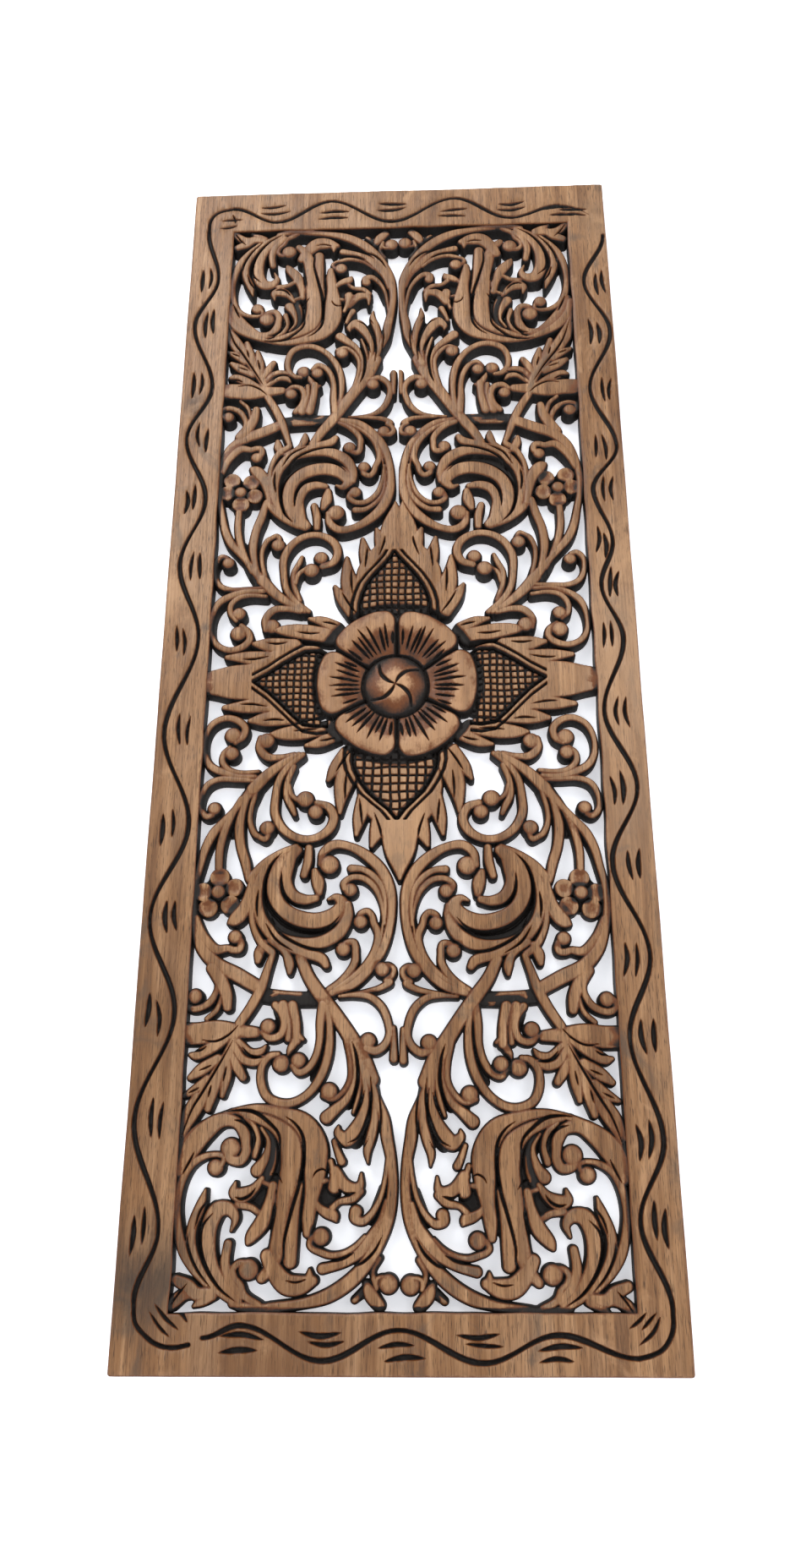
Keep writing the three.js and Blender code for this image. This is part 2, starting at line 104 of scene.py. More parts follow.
SPREAD_CELLS = 5            # how far round a point its depth is judged, in grid steps
DEEP = 6.0                  # painted shade and stain: wood lying deeper than this under its surroundings is fully dark
EDGE_SHADE_AND_STAIN = 0.5            # the painted shade and stain on the board's outer edges go no darker than this, on the same scale

# ---- the pattern of one quarter ------------------------------------------------------------------
# u is the distance from the upright middle line and v from the level middle line.


def ribbon(*stations, drop=0.0):
    """A strand through (u, v, width) stations; drop lowers its face."""
    return {"stations": stations, "drop": drop}


def knob(u, v, radius, drop=0.0, dish=0.0):
    """A round knob; dish hollows its face."""
    return {"centre": (u, v), "radius": radius, "drop": drop, "dish": dish}


def curl(centre, radius, start, end, width, *tail, gap=1.2, drop=0.0):
    """A knob with a strand that winds out of it, from one angle to another, and on along a tail."""
    steps = 4
    inner = max(radius - width * 0.5, 0.5)
    outer = radius + gap + width * 0.5
    stations = []
    for k in range(steps + 1):
        share = k / steps
        out = min(1.0, share * 2)
        out = out * out * (3 - 2 * out)
        angle = math.radians(start + (end - start) * share)
        reach = inner + (outer - inner) * out
        stations.append((centre[0] + reach * math.cos(angle), centre[1] + reach * math.sin(angle), width))
    return [knob(*centre, radius, drop=drop), ribbon(*stations, *tail, drop=drop)]


STEM = [
    ribbon((64, 201, 7), (58.5, 213, 8), (50, 225, 9), (41, 237.5, 9), (32.8, 250, 9.5), (24.5, 264, 11),
           (17.5, 279, 10)),
    ribbon((21, 274, 6), (14, 290, 5), (9.3, 302, 6.5), (7.5, 314, 7), (5, 328, 6), (4.2, 345, 6),
           (7, 362, 7.5), (13, 376, 8), (21, 388.5, 8), (31, 398, 8.5), (43, 405, 8), (57, 409, 6),
           (78, 412, 6)),
]

LOWER_SCROLL = [
    ribbon((8, 352, 3), (11, 364, 6), (17, 373.5, 8), (25, 382, 6.5), (34, 387, 5.5), (42, 389.5, 5.5),
           (46.5, 390.5, 6)),
    *curl((47.5, 373), 5.3, -10, 80, 4, (42, 383, 3.8), (34, 381.8, 3.4), (27, 378, 3), (21, 372, 2),
           gap=0.8),
    ribbon((7, 325, 2), (8.5, 338, 2.6), (11.5, 350, 3), (17, 359.5, 4), (22.5, 363.8, 5),
           (27, 362, 6.5), (26.5, 358.5, 7.5)),
    ribbon((21, 270, 4), (16, 286, 4), (15, 302, 5), (17.5, 314, 6), (20, 323, 4.5), (19.5, 330, 1)),
    ribbon((24, 268, 4), (20.8, 286, 4), (22, 299, 6), (27, 310, 9), (33.5, 316.5, 9), (38.5, 312.5, 5),
           (38.3, 308.5, 1)),
    ribbon((26, 266, 4), (24.5, 280, 3.5), (26, 291, 3), (28.8, 300, 2)),
    ribbon((36, 330, 5), (38.5, 325, 4), (41, 318, 3)),
]

EYE_LEAVES = [
    ribbon((45, 341.5, 3), (50.5, 343, 3.4), (52.8, 349, 3.4), (50.5, 355.5, 4), (45, 359.5, 6),
           (40.5, 361, 6.5), (38.6, 364, 2)),
    ribbon((40, 336, 7), (34, 343.5, 7.5), (28, 346, 8), (24.3, 343.5, 5), (23.5, 336.5, 1.5)),
    ribbon((43, 330, 3), (41, 337, 4), (40, 345, 8)),
    ribbon((24, 347, 5), (29, 351.5, 5), (37, 353.5, 3.5), (41, 357, 4)),
    ribbon((84, 343.5, 3), (79.5, 345.5, 3.4), (77.3, 351, 3.4), (79.5, 357.5, 3.8), (85, 360.5, 4),
           (91, 357.5, 4), (99, 356, 5)),
    ribbon((85, 341, 3), (90, 347.5, 6), (97, 351, 9), (102, 349.5, 6), (101.3, 343.5, 1.5)),
]

CREST_LEAF = [
    ribbon((139, 335, 6), (136, 324, 7), (127, 313, 7.5), (115, 305.5, 5.5), (103, 300.5, 4),
           (90, 298.5, 5), (74, 301.5, 8), (60.5, 308.5, 13), (53, 322, 15), (52.5, 338, 13),
           (54, 352, 9), (55.5, 363, 8), (56, 371.5, 5)),
    ribbon((105, 301, 2), (92, 304, 6), (79, 309, 9), (70, 318, 13), (67.5, 332, 13), (69.5, 348, 12),
           (71.5, 364, 10), (74, 380, 10), (78, 391, 8), (83, 396, 6)),
    ribbon((62, 345, 5), (64, 360, 6), (65.5, 374, 8), (66, 387, 8)),
    ribbon((90, 308, 2), (82, 315, 4), (79.5, 325, 5), (81, 335, 6), (84, 343, 6), drop=2),
    ribbon((87, 311, 2), (82.5, 319, 2.6), (84, 329, 5), (88.5, 336.5, 8)),
    ribbon((98, 304.5, 2), (92, 310, 4), (89.5, 319, 4.5), (91, 328, 4)),
    *curl((106, 323.5), 6.3, 60, 200, 6, (97.5, 315, 7), (102.5, 308, 7), (112, 306.5, 9),
           (122, 313, 12), (131, 324, 12), (137, 338, 6), gap=0.6),
    ribbon((78, 345, 5), (80, 355, 6), (84, 366, 9), (90, 373.5, 7), (92, 377, 3)),
    ribbon((52, 397, 6), (60, 399.5, 11), (68, 399, 12), (76, 391, 10), (80, 384, 8)),
    ribbon((54, 391, 1.5), (54, 396, 6)),
]

SIDE_RING = [
    *curl((114.5, 335), 5.2, 200, 270, 3.4, (122, 328.5, 4), (130, 333.5, 5), (135, 343, 5.5),
           (136.8, 356, 5), (135.6, 368, 5.6), (131.5, 381, 6), (125, 391, 5), (116, 400, 4), gap=0.8),
    ribbon((119.5, 348, 1.5), (122, 357, 6), (126.5, 369, 6), (126, 380, 6), (121, 391, 6),
           (112, 401, 5), (100, 409, 4)),
    ribbon((102.5, 370.5, 1.5), (100.3, 363.5, 5), (104.5, 358.5, 8), (111, 359, 10), (115.5, 367, 10),
           (116, 379, 9), (113, 390, 8), (106, 400, 7), (96, 408.5, 4)),
    ribbon((104, 377.5, 5), (105.3, 388, 6), (102, 398, 6), (95, 406, 5)),
    *curl((91, 391.5), 6.2, -60, 60, 4, (93, 405.5, 4.5), (84, 410.5, 4), gap=1.2),
    ribbon((112, 404, 5), (122, 405, 8), (127, 401, 8), (135, 397.5, 6)),
    ribbon((122, 405, 6), (130, 406, 7), (137, 411.5, 7)),
    ribbon((112, 406, 6), (118, 409, 6), (123, 412, 2)),
    ribbon((72, 412, 6), (90, 412.5, 6), (100, 410, 5)),
]

AXIS_FOOT = [
    *curl((6.6, 398), 5.8, -60, 20, 2.6, (16, 392, 3), (12, 384, 4), gap=0.2, drop=1),
    ribbon((16, 396, 3), (21, 402, 5), (27, 407, 4), drop=3),
    ribbon((12, 410, 7), (17, 404, 8), (20, 398, 4), drop=1),
]

LOOP_PAIR = [
    ribbon((49, 231, 6), (50.5, 243, 5.5), (51, 256, 4.5), (53.5, 266, 4.5), (58, 273, 4.6),
           (64, 276, 4.6), (68, 272, 4)),
    knob(64.5, 268.5, 5),
    ribbon((46.5, 232, 4), (44.5, 246, 4.5), (45, 262, 5.5), (49, 276, 5.5), (57, 288, 5),
           (67, 294.5, 5.2), (76, 295, 5.4), (84, 291, 5.4), (88, 282, 5.2), (87.5, 272, 4.6),
           (83, 266, 4.6), (77.5, 264.5, 3)),
    knob(75.5, 270.5, 5.8, drop=1),
    ribbon((30, 256, 4), (27.5, 270, 3.5), (28.2, 281, 3.5), (33.5, 292, 5), (40, 298, 6.5),
           (46, 303.5, 8)),
    ribbon((34, 254, 3.5), (31, 268, 3.6), (31, 279, 3.6), (35.5, 287.5, 3.6), (42, 292, 3.8),
           (48, 290, 4)),
    knob(44.5, 287, 5.4),
]

AXIS_CURLS = [
    *curl((10, 208.5), 5, -110, -250, 4, (5, 216.5, 4.6), (11.5, 220.5, 4), (20, 222.5, 3), (30, 224, 2),
           gap=0.4),
    ribbon((38, 225.5, 2), (28, 224.7, 3.5), (18.5, 226, 4.5), (11, 232, 5), (7, 240.5, 5),
           (5.8, 250, 4.5), (8.7, 257, 5), (14.5, 261, 5.5), (20.5, 259.5, 5)),
    knob(19.5, 254.7, 5.2),
    ribbon((3, 246, 3), (3, 256, 4), (3, 266, 5)),
]

UPPER_SCROLL = [
    ribbon((43, 223, 5), (30, 218.5, 6), (19, 208.5, 6.5), (10.5, 196, 6.5), (6, 183, 6), (4, 168, 6),
           (5.3, 154, 7.5), (11, 141, 8), (20, 131.5, 7.5), (32, 124.5, 6), (43, 123, 6.5),
           (50, 128.5, 6), (51.5, 137, 5)),
    knob(45.8, 137.5, 6.6),
    ribbon((9, 178, 2.6), (8.2, 165, 3), (10.5, 153, 4), (16.5, 145, 4.6), (24, 140.5, 4.4),
           (31, 140, 5.5)),
    ribbon((9, 178, 2), (10.8, 164, 3), (15, 153.5, 4.2), (22.5, 147, 4.4), (30.5, 146.3, 4.4),
           (36, 150.5, 4.6), (35, 154, 5)),
    knob(31.5, 155, 4.9),
    *curl((24.5, 177), 4.8, -60, -180, 4.6, (12.8, 185, 5), (14.6, 195, 5), (19.8, 204, 4.4),
           (28.8, 213, 4), (41, 221, 3.4), gap=1.4),
    *curl((35.8, 195.5), 5, -100, -190, 4.8, (27.8, 203, 5), (31.5, 210, 5), (38, 216.5, 4.6),
           (45, 221, 4), gap=0.8),
    ribbon((9.5, 176, 1.6), (11.5, 190, 2), (16, 200, 2), (22, 208.5, 1.5)),
]

PAISLEY = [
    ribbon((100, 148, 5), (90, 137.5, 7), (78, 128.5, 5), (69, 125, 5)),
    ribbon((68, 127, 7), (75, 133, 11), (82, 144, 10), (83, 156, 10), (78, 167, 10), (67, 174.5, 11),
           (54, 176.5, 11), (42, 172.5, 11), (36.5, 165, 9), (41, 160, 5), (46, 161.5, 2)),
    ribbon((88, 137, 4), (93, 149, 7), (94, 163, 7), (90, 177, 8), (80, 188, 9), (66, 192.5, 9),
           (51, 191.5, 9), (38.5, 184, 9), (33, 173, 7), (33, 165, 5)),
    ribbon((70, 127, 6), (73.5, 138, 8), (75, 149, 8), (70.5, 158.5, 8), (62, 162, 7), (54.5, 161, 5)),
    ribbon((60, 125, 5), (60.5, 135, 6), (63, 144.5, 5)),
    ribbon((55.5, 142, 5), (53.5, 149, 8.5), (52.5, 157, 5)),
    ribbon((97, 145, 5), (99, 156, 6), (102, 168, 9), (108, 176, 9), (112, 178.5, 3)),
    ribbon((97, 152, 3), (97.5, 166, 4), (96, 180, 4), (90, 192, 5), (83, 198, 5)),
    ribbon((88, 192, 5), (91, 198, 7), (92, 204, 4)),
    ribbon((84, 190, 5), (74, 198, 5), (71, 206, 6), (71, 211, 3)),
    ribbon((76, 193, 6), (62, 198.5, 6), (50, 202, 7), (47, 206, 5)),
]

SMALL_FLOWER = [
    knob(120.5, 157, 4.8),
    knob(120, 146.8, 6.3, dish=1.8),
    knob(109.5, 153.8, 6, dish=1.8),
    knob(112, 166, 6.2, dish=1.8),
    knob(127, 168, 6.2, dish=1.8),
    knob(131, 157, 6, dish=1.8),
]

FRAME_VINE = [
    ribbon((100, 83, 8), (110.5, 96, 5), (118.8, 106, 5.5), (126, 115, 6.5), (131, 126, 6),
           (134, 139, 5), (137, 153, 5), (137.5, 168, 6), (134.5, 183, 6), (129, 196, 8),
           (119, 206.5, 9), (106, 213, 9.5), (92, 220.5, 9)),
    *curl((107.5, 188), 4.8, 160, 60, 5, (120, 196.5, 6.5), (129, 187, 6), (134.5, 175, 4.5), gap=1.6),
    ribbon((108, 90, 4), (114, 102, 5), (118.5, 114, 5.4), (121, 127, 5.4), (121, 140, 5)),
    ribbon((103, 85, 5), (106.5, 98, 5), (108.3, 110, 6.5), (106.8, 124, 6.5), (103, 136, 6.5),
           (100.5, 147, 5)),
    *curl((89, 111.3), 5.3, 110, 50, 4, (97.5, 115.5, 4.2), (101, 107, 3.6), (100.7, 97, 3.4),
           (98, 86, 3.6), gap=0.8),
]

BRANCH = [
    ribbon((69, 57, 4), (80, 64, 6), (91, 73, 8), (100, 83, 9)),
    ribbon((66, 57, 4), (76, 66, 5), (82, 76, 5), (84.2, 89, 5.4), (84, 101, 6), (77.5, 112.5, 6),
           (67, 118.5, 5.6), (56, 118.3, 5.6), (46.5, 112, 6.5), (43.5, 103.5, 6.5), (47, 96, 6),
           (55, 93, 5)),
    knob(56, 99.5, 5.3),
    ribbon((72, 66, 4), (76, 77, 4.4), (76.5, 88, 4.4), (73, 95, 4.6), (70.5, 101, 3)),
    knob(63.3, 90, 6),
    ribbon((67, 92, 3), (73, 87, 3.4), (75, 80, 3)),
    knob(92, 48, 5.8),
    ribbon((96.5, 46, 4), (96.8, 53, 5.6), (91, 59, 6), (82, 59.5, 5), (72, 57, 4)),
]

FRAME_CURL = [
    ribbon((114, 50, 4), (109, 46, 5), (107.8, 39, 5.4), (113, 33, 5.4), (122, 31, 5), (131, 36, 4.6),
           (135.5, 46, 4), (135.6, 57, 4.4), (131, 66, 5.4), (122, 71, 5.6), (111, 74, 4.4), (99, 74, 4)),
    knob(116, 45.5, 6),
    knob(116.2, 57, 5.2),
    ribbon((118, 53, 3), (122, 57, 4.2), (122.5, 63.5, 4.4), (117.5, 69, 4.2), (109, 71, 3.6), (97, 70, 3)),
    ribbon((99, 77, 3), (112, 76.3, 4), (124, 76.2, 4.4), (132, 80, 4.4), (136.3, 89, 4),
           (136.2, 98, 4.4), (131.5, 103, 4.6), (127.5, 102, 4)),
    knob(126.3, 97.5, 4.8),
]

CROSS_BAR = [
    ribbon((54, 226.5, 9), (72, 226.5, 9.5), (90, 225, 9), drop=3),
]

HANGING_LEAF = [
    ribbon((82, 199, 4), (85.5, 209, 5), (89.5, 221, 6.5), (96, 234, 6.5), (103, 245, 6)),
    ribbon((69, 232, 7), (66.5, 244, 6), (66, 256, 6)),
    ribbon((66, 252, 5), (62, 255, 2.5)),
    ribbon((75, 232, 7), (71, 245, 3.5), (71.5, 255, 4)),
    ribbon((66, 255, 6), (70, 262, 4), (71, 265, 1.5)),
    ribbon((80, 232, 5), (75.5, 238, 5), (74, 246, 5), (76.5, 252.5, 5), (83, 254.5, 5), (88, 251, 4)),
    knob(84.5, 247, 5),
]

SIDE_SPRIG = [
    ribbon((122, 209, 8), (116.5, 217, 9), (112.5, 226, 8), (111.3, 234.5, 6)),
    *curl((133, 228), 5, -20, 110, 4.6, (123, 231.5, 4.6), (118.5, 222, 4), (121, 212, 3), gap=0.8),
    ribbon((115, 226, 3), (118, 236, 3.4), (124.5, 242.5, 3)),
]

SIDE_LEAF = [
    ribbon((92, 251, 7), (104, 250.5, 10), (118, 250.5, 14), (130, 252, 14), (141, 252, 14)),
    ribbon((104, 248, 6), (108, 262, 7), (117, 279, 8), (127, 297, 8), (137, 316, 5), (139, 324, 3)),
    ribbon((103, 257, 4), (95, 263.5, 4.5), (88.5, 263, 4.5), (85.5, 259.5, 1.5)),
    ribbon((106, 259, 5), (100, 268, 5.5), (92, 270, 5), (87, 267, 3)),
    ribbon((107, 265, 4), (103.5, 273, 6.5), (99.5, 279.5, 5)),
    ribbon((109, 266, 5), (110.5, 279, 7.5), (112.3, 291, 3.5)),
    ribbon((114, 277, 5), (118, 289, 6.5), (121, 299.5, 4.5)),
    ribbon((121, 289, 5), (127, 300, 5), (133, 310, 4)),
    ribbon((110, 254, 6), (122, 262, 8), (130, 266, 6), (134, 265.5, 2.5)),
    ribbon((116, 268, 6), (126, 275, 8), (133, 280, 4)),
    ribbon((122, 281, 6), (130, 288, 6), (137, 291.5, 2.5)),
    ribbon((128, 292, 6), (135, 303, 6), (138.5, 314, 4)),
]

UPRIGHT_LOTUS = [
    ribbon((0, 60, 30), (0, 80, 58), (0, 96, 40), (0, 112, 26), (0, 126, 20), (0, 140, 8), (0, 148, 1)),
    ribbon((36, 55, 12), (45, 67, 9), (50, 76, 3)),
    ribbon((30, 60, 12), (38, 75, 14), (41, 90, 8), (41.5, 100, 3)),
    ribbon((24, 90, 12), (28, 104, 9), (30, 116, 3)),
    ribbon((12, 100, 14), (16, 114, 10), (19.5, 124, 3)),
]

LEVEL_LOTUS = [
    ribbon((55, 0, 40), (70, 0, 58), (88, 0, 46), (102, 0, 30), (118, 0, 26), (130, 0, 20), (140, 0, 16)),
    ribbon((44, 42, 10), (56, 48, 8), (65, 50, 3)),
    ribbon((50, 36, 12), (72, 40, 12), (84, 41, 8), (90, 41, 3)),
    ribbon((76, 28, 12), (94, 29.5, 11), (105, 30.5, 4)),
    ribbon((90, 17, 14), (110, 19.5, 10), (124, 20, 4)),
]

GROUND = [
    ribbon((106, 302, 6), (84, 308, 20), (68.5, 322, 30), (66, 345, 27), (70, 370, 17), (76, 388, 10)),
    knob(44.5, 349, 7.5),
    knob(85, 351.5, 7.5),
    ribbon((80, 322, 6), (82, 340, 8), (82, 362, 8)),
    ribbon((113, 358, 8), (120, 372, 14), (117, 388, 14), (105, 403, 9)),
    ribbon((128, 370, 5), (125, 386, 7), (114, 401, 7)),
    ribbon((21, 272, 10), (18, 292, 12), (20, 306, 10), (28, 317, 8)),
    ribbon((29, 255, 5), (27, 272, 6), (33, 294, 6)),
    ribbon((72, 130, 12), (86, 147, 16), (87, 168, 16), (72, 184, 16), (52, 184, 16), (36, 172, 8)),
    ribbon((47, 236, 5), (48.5, 262, 5), (55, 279, 4)),
    knob(120.5, 157, 12),
    ribbon((100, 82, 12), (107, 96, 14), (114, 110, 12)),
    ribbon((9, 172, 4), (13, 195, 4), (27, 213, 6), (44, 223, 7)),
    ribbon((9, 150, 4), (20, 141, 4)),
    ribbon((76, 236, 10), (72, 254, 6)),
    ribbon((108, 258, 8), (120, 280, 10), (130, 300, 8)),
    ribbon((33, 291, 5), (42, 295, 4)),
    ribbon((10, 345, 5), (17, 363, 5)),
]

# V-shaped cuts into the strands and leaves of a quarter, as (u, v) points with a greatest width.
CUTS = [
    # the leaves at the mouth of the big scroll
    (2.4, [(18, 275), (17, 290), (20, 303), (26, 315), (33, 319)]),
    (1.8, [(13, 284), (11, 300), (12, 315)]),
    (1.8, [(21, 285), (24, 295), (28, 301)]),
    (3.0, [(30, 255), (27, 265), (26, 280), (29, 292), (32, 300)]),
    (1.6, [(18, 313), (22, 320), (28, 322.5), (34, 322), (39, 317), (41, 313)]),
    (2.4, [(10, 371), (15, 380), (22, 386.5), (28, 389)]),
    (2.2, [(27, 381), (35, 385), (47, 386.5)]),
    (1.8, [(55, 396), (62, 398), (69, 397)]),
    # the crest leaf and its two hollows
    (2.6, [(26, 347.5), (33, 349), (38, 346)]),
    (2.6, [(88, 346), (92, 351), (97, 353), (101, 352)]),
    (1.8, [(44, 337), (48, 335), (52, 337), (54, 341)]),
    (1.8, [(72, 344), (76, 339), (80, 338)]),
    (3.0, [(73, 303), (66, 308), (61, 316), (60, 330), (62, 345), (66, 360), (70, 378), (69, 388)]),
    (3.0, [(109, 301), (100, 300), (92, 301), (83, 307), (76, 315), (75, 330)]),
    (2.6, [(105, 306), (100, 307), (95, 310), (91, 317), (92, 325)]),
    (1.8, [(75, 355), (78, 372)]),
    # the fan beside it
    (3.0, [(113, 360), (120, 368), (121, 378), (117, 390), (108, 402), (98, 409)]),
    (2.0, [(117, 353), (122, 360), (125, 370)]),
    (2.4, [(129, 372), (128, 380), (122, 392), (113, 402)]),
    (1.8, [(108, 378), (109, 388)]),
    (1.8, [(127, 399), (133, 406), (137, 412)]),
    (2.0, [(128, 325), (135, 340)]),
    # the serrated leaf at the frame
    (2.2, [(106, 255), (115, 272), (125, 290), (131, 300), (138, 320)]),
    (2.2, [(86, 267), (95, 266), (101, 260)]),
    (2.0, [(123, 260), (128, 263), (138, 262)]),
    (2.0, [(103, 246), (110, 253), (118, 257), (128, 256)]),
    (1.8, [(110, 272), (112, 283)]),
    (1.8, [(119, 272), (128, 276)]),
    (1.8, [(119, 284), (121, 293)]),
    (1.8, [(126, 286), (134, 290)]),
    # the paisley leaf
    (3.6, [(78, 129), (85, 137), (89, 150), (88, 162), (82, 172), (72, 180), (55, 183.5), (45, 180),
           (38, 173)]),
    (3.0, [(78, 142), (78, 150), (76, 158), (70, 165), (62, 168), (54, 167)]),
    (2.4, [(93, 155), (94, 165), (93, 175)]),
    (2.8, [(38, 193), (50, 196), (60, 195), (73, 189), (80, 183), (85, 172)]),
    (2.2, [(68, 198), (80, 190), (88, 178)]),
]

# The lotus below the flower; the one beside it is LEVEL_LOTUS. Both are mirrored.
UPRIGHT_CUTS = [
    (2.2, [(33, 52), (40, 62), (45, 71)]),
    (2.2, [(37, 69), (38, 80), (38, 92)]),
    (2.2, [(28, 90), (27, 100), (26, 110)]),
    (2.2, [(18, 100), (14, 112), (13, 118)]),
]
LEVEL_CUTS = [
    (2.2, [(56, 38), (65, 38), (75, 39.5)]),
    (2.2, [(80, 31), (88, 30), (97, 31)]),
    (2.2, [(93, 20), (104, 18), (113, 18)]),
    (2.2, [(44, 44), (50, 46), (56, 47)]),
]
# Distance along the lotus's own axis, and how far its pod reaches to either side of it there:
# right and left for the upright ones, up and down for the level ones.
POD_ABOVE = [(50, 23.5, 29.5), (62, 23, 29), (70, 21, 27), (78, 17.5, 24), (86, 12.5, 18.5),
             (94, 6, 11.5), (101, 0, 6), (106, -3.5, 3.5)]
POD_BELOW = [(50, 27, 32), (62, 27.5, 33), (69, 26, 31.5), (78, 21.5, 27), (86, 16.5, 21.5),
             (93, 9.5, 14), (99, 3.5, 7), (106, -1.5, 1.5)]
POD_BESIDE = [(50, 22, 35), (58, 23.8, 36), (68, 23.4, 34.2), (76, 19, 27), (85, 13.2, 17.5),
              (94, 6.5, 8.5), (105, 0, 0)]

QUARTER = [
    *STEM, *LOWER_SCROLL, *EYE_LEAVES, *CREST_LEAF, *SIDE_RING, *AXIS_FOOT, *LOOP_PAIR, *AXIS_CURLS,
    *UPPER_SCROLL, *PAISLEY, *SMALL_FLOWER, *FRAME_VINE, *BRANCH, *FRAME_CURL, *CROSS_BAR,
    *HANGING_LEAF, *SIDE_SPRIG, *SIDE_LEAF,
]

# ---- the frame -----------------------------------------------------------------------------------
# Here x is from the board's left edge and y from its top edge.

OPENING = {"left": 34.0, "right": 311.5, "top": 40.5, "bottom": 867.5}
# Crests of the wavy line: down the left rail and round to the break in it, then from the break
# along the bottom rail and up the right one, then along the top rail.
LEFT_CRESTS = [(13, 40), (23.5, 90), (6.7, 137), (24, 198), (6.7, 246), (24.5, 302), (8.5, 357), (26, 420),
               (6, 493), (27.5, 562), (5.5, 627), (26, 690), (5, 757), (24.7, 822), (12.6, 861)]
BOTTOM_CRESTS = [(55, 881), (76.8, 874.3), (126, 893.2), (171, 876.8), (221, 894.3), (265, 879.4),
                 (311, 891.8)]
RIGHT_CRESTS = [(332.5, 866), (317, 818), (334.5, 770), (318, 708), (334.6, 655), (314.3, 592), (334.5, 538),
                (315.6, 482), (332.5, 425), (319.5, 382), (330, 345), (318.2, 300), (338.2, 262), (321, 208),
                (340, 153), (322, 103), (340, 55)]
TOP_CRESTS = [(33, 15.8), (70, 31.7), (115, 10.5), (166, 34), (218, 11), (265, 33.7), (305, 22)]
CORNER_LINES = [
    [(12.6, 861), (14.5, 873), (21.6, 880.5), (28.5, 884.7), (37.7, 886.3), (47, 884.7)],
    [(311, 891.8), (320, 889.5), (326, 886), (331.5, 877), (332.5, 866)],
    [(13, 40), (14, 27), (20, 19.5), (33, 15.8)],
]
WORN_CORNER = [(305, 22), (318, 25), (331, 34)]
CORNER_GOUGES = [
    (2.6, [(25, 862), (32, 870), (41, 877)]), (2.4, [(34, 861), (42, 868), (46, 873)]),
    (2.2, [(22, 866), (29, 875), (36, 881)]),
    (2.6, [(311, 885), (320, 878), (325, 869)]), (2.2, [(313, 877), (318, 872), (323, 867)]),
    (2.4, [(306, 876), (312, 872), (317, 867)]),
    (2.6, [(23, 29), (32, 28), (41, 28)]), (2.6, [(22, 37), (30, 36), (37, 34)]),
    (2.0, [(32, 22), (34, 27), (35, 32)]),
]

# ---- height fields -------------------------------------------------------------------------------


def smooth(points, steps=6):
    """A centripetal Catmull-Rom curve through points of any size."""
    p = np.array(points, float)
    if len(p) < 3:
        share = np.linspace(0, 1, steps + 1)[:, None]
        return p[0] * (1 - share) + p[-1] * share
    q = np.vstack([2 * p[0] - p[1], p, 2 * p[-1] - p[-2]])
    out = []
    for i in range(1, len(q) - 2):
        p0, p1, p2, p3 = q[i - 1:i + 3]
        knots = [0.0]
        for a, b in ((p0, p1), (p1, p2), (p2, p3)):
            knots.append(knots[-1] + max(1e-6, np.hypot(*(a[:2] - b[:2])) ** 0.5))
        t0, t1, t2, t3 = knots
        t = t1 + (t2 - t1) * np.arange(steps)[:, None] / steps
        a1 = (t1 - t) / (t1 - t0) * p0 + (t - t0) / (t1 - t0) * p1
        a2 = (t2 - t) / (t2 - t1) * p1 + (t - t1) / (t2 - t1) * p2
        a3 = (t3 - t) / (t3 - t2) * p2 + (t - t2) / (t3 - t2) * p3
        b1 = (t2 - t) / (t2 - t0) * a1 + (t - t0) / (t2 - t0) * a2
        b2 = (t3 - t) / (t3 - t1) * a2 + (t - t1) / (t3 - t1) * a3
        out.append((t2 - t) / (t2 - t1) * b1 + (t - t1) / (t2 - t1) * b2)
    return np.vstack([*out, p[-1:]])


def ease(low_end, high_end, value):
    """0 below low_end, 1 above high_end and smooth between."""
    share = np.clip((value - low_end) / (high_end - low_end), 0, 1)
    return share * share * (3 - 2 * share)


class Waves:
    """Smooth, repeatable unevenness: a few sine waves in fixed directions."""

    def __init__(self, seed, size, count=7):
        rng = np.random.default_rng(seed)
        angle = rng.uniform(0, 2 * np.pi, count)
        length = size * rng.uniform(0.6, 1.7, count)
        self.kx = 2 * np.pi * np.cos(angle) / length
        self.kz = 2 * np.pi * np.sin(angle) / length
        self.phase = rng.uniform(0, 2 * np.pi, count)

    def __call__(self, x, z):
        total = 0
        for kx, kz, phase in zip(self.kx, self.kz, self.phase):
            total = total + np.sin(kx * x + kz * z + phase)
        return total / math.sqrt(len(self.phase))


COLUMNS = int(math.ceil((2 * HALF_WIDTH + 4) / STEP))
ROWS = int(math.ceil((2 * HALF_HEIGHT + 4) / STEP))
GRID_X = (np.arange(COLUMNS) - (COLUMNS - 1) / 2) * STEP
GRID_Z = (np.arange(ROWS) - (ROWS - 1) / 2) * STEP
NOWHERE = -50.0


def window(x0, x1, z0, z1):
    """Rows and columns of the grid inside a box."""
    columns = slice(max(0, np.searchsorted(GRID_X, x0)), min(COLUMNS, np.searchsorted(GRID_X, x1)))
    rows = slice(max(0, np.searchsorted(GRID_Z, z0)), min(ROWS, np.searchsorted(GRID_Z, z1)))
    return rows, columns


def along(curve, margin, visit):
    """Calls visit(rows, columns, distance, half width) for each piece of a curve of (x, z, width)."""
    for a, b in zip(curve[:-1], curve[1:]):
        reach = max(a[2], b[2]) / 2 + margin
        rows, columns = window(min(a[0], b[0]) - reach, max(a[0], b[0]) + reach,
                               min(a[1], b[1]) - reach, max(a[1], b[1]) + reach)
        if rows.stop <= rows.start or columns.stop <= columns.start:
            continue
        x = GRID_X[columns][None, :]
        z = GRID_Z[rows][:, None]
        dx, dz = b[0] - a[0], b[1] - a[1]
        share = np.clip(((x - a[0]) * dx + (z - a[1]) * dz) / (dx * dx + dz * dz + 1e-9), 0, 1)
        distance = np.hypot(x - a[0] - share * dx, z - a[1] - share * dz)
        visit(rows, columns, distance, (a[2] + (b[2] - a[2]) * share) / 2)


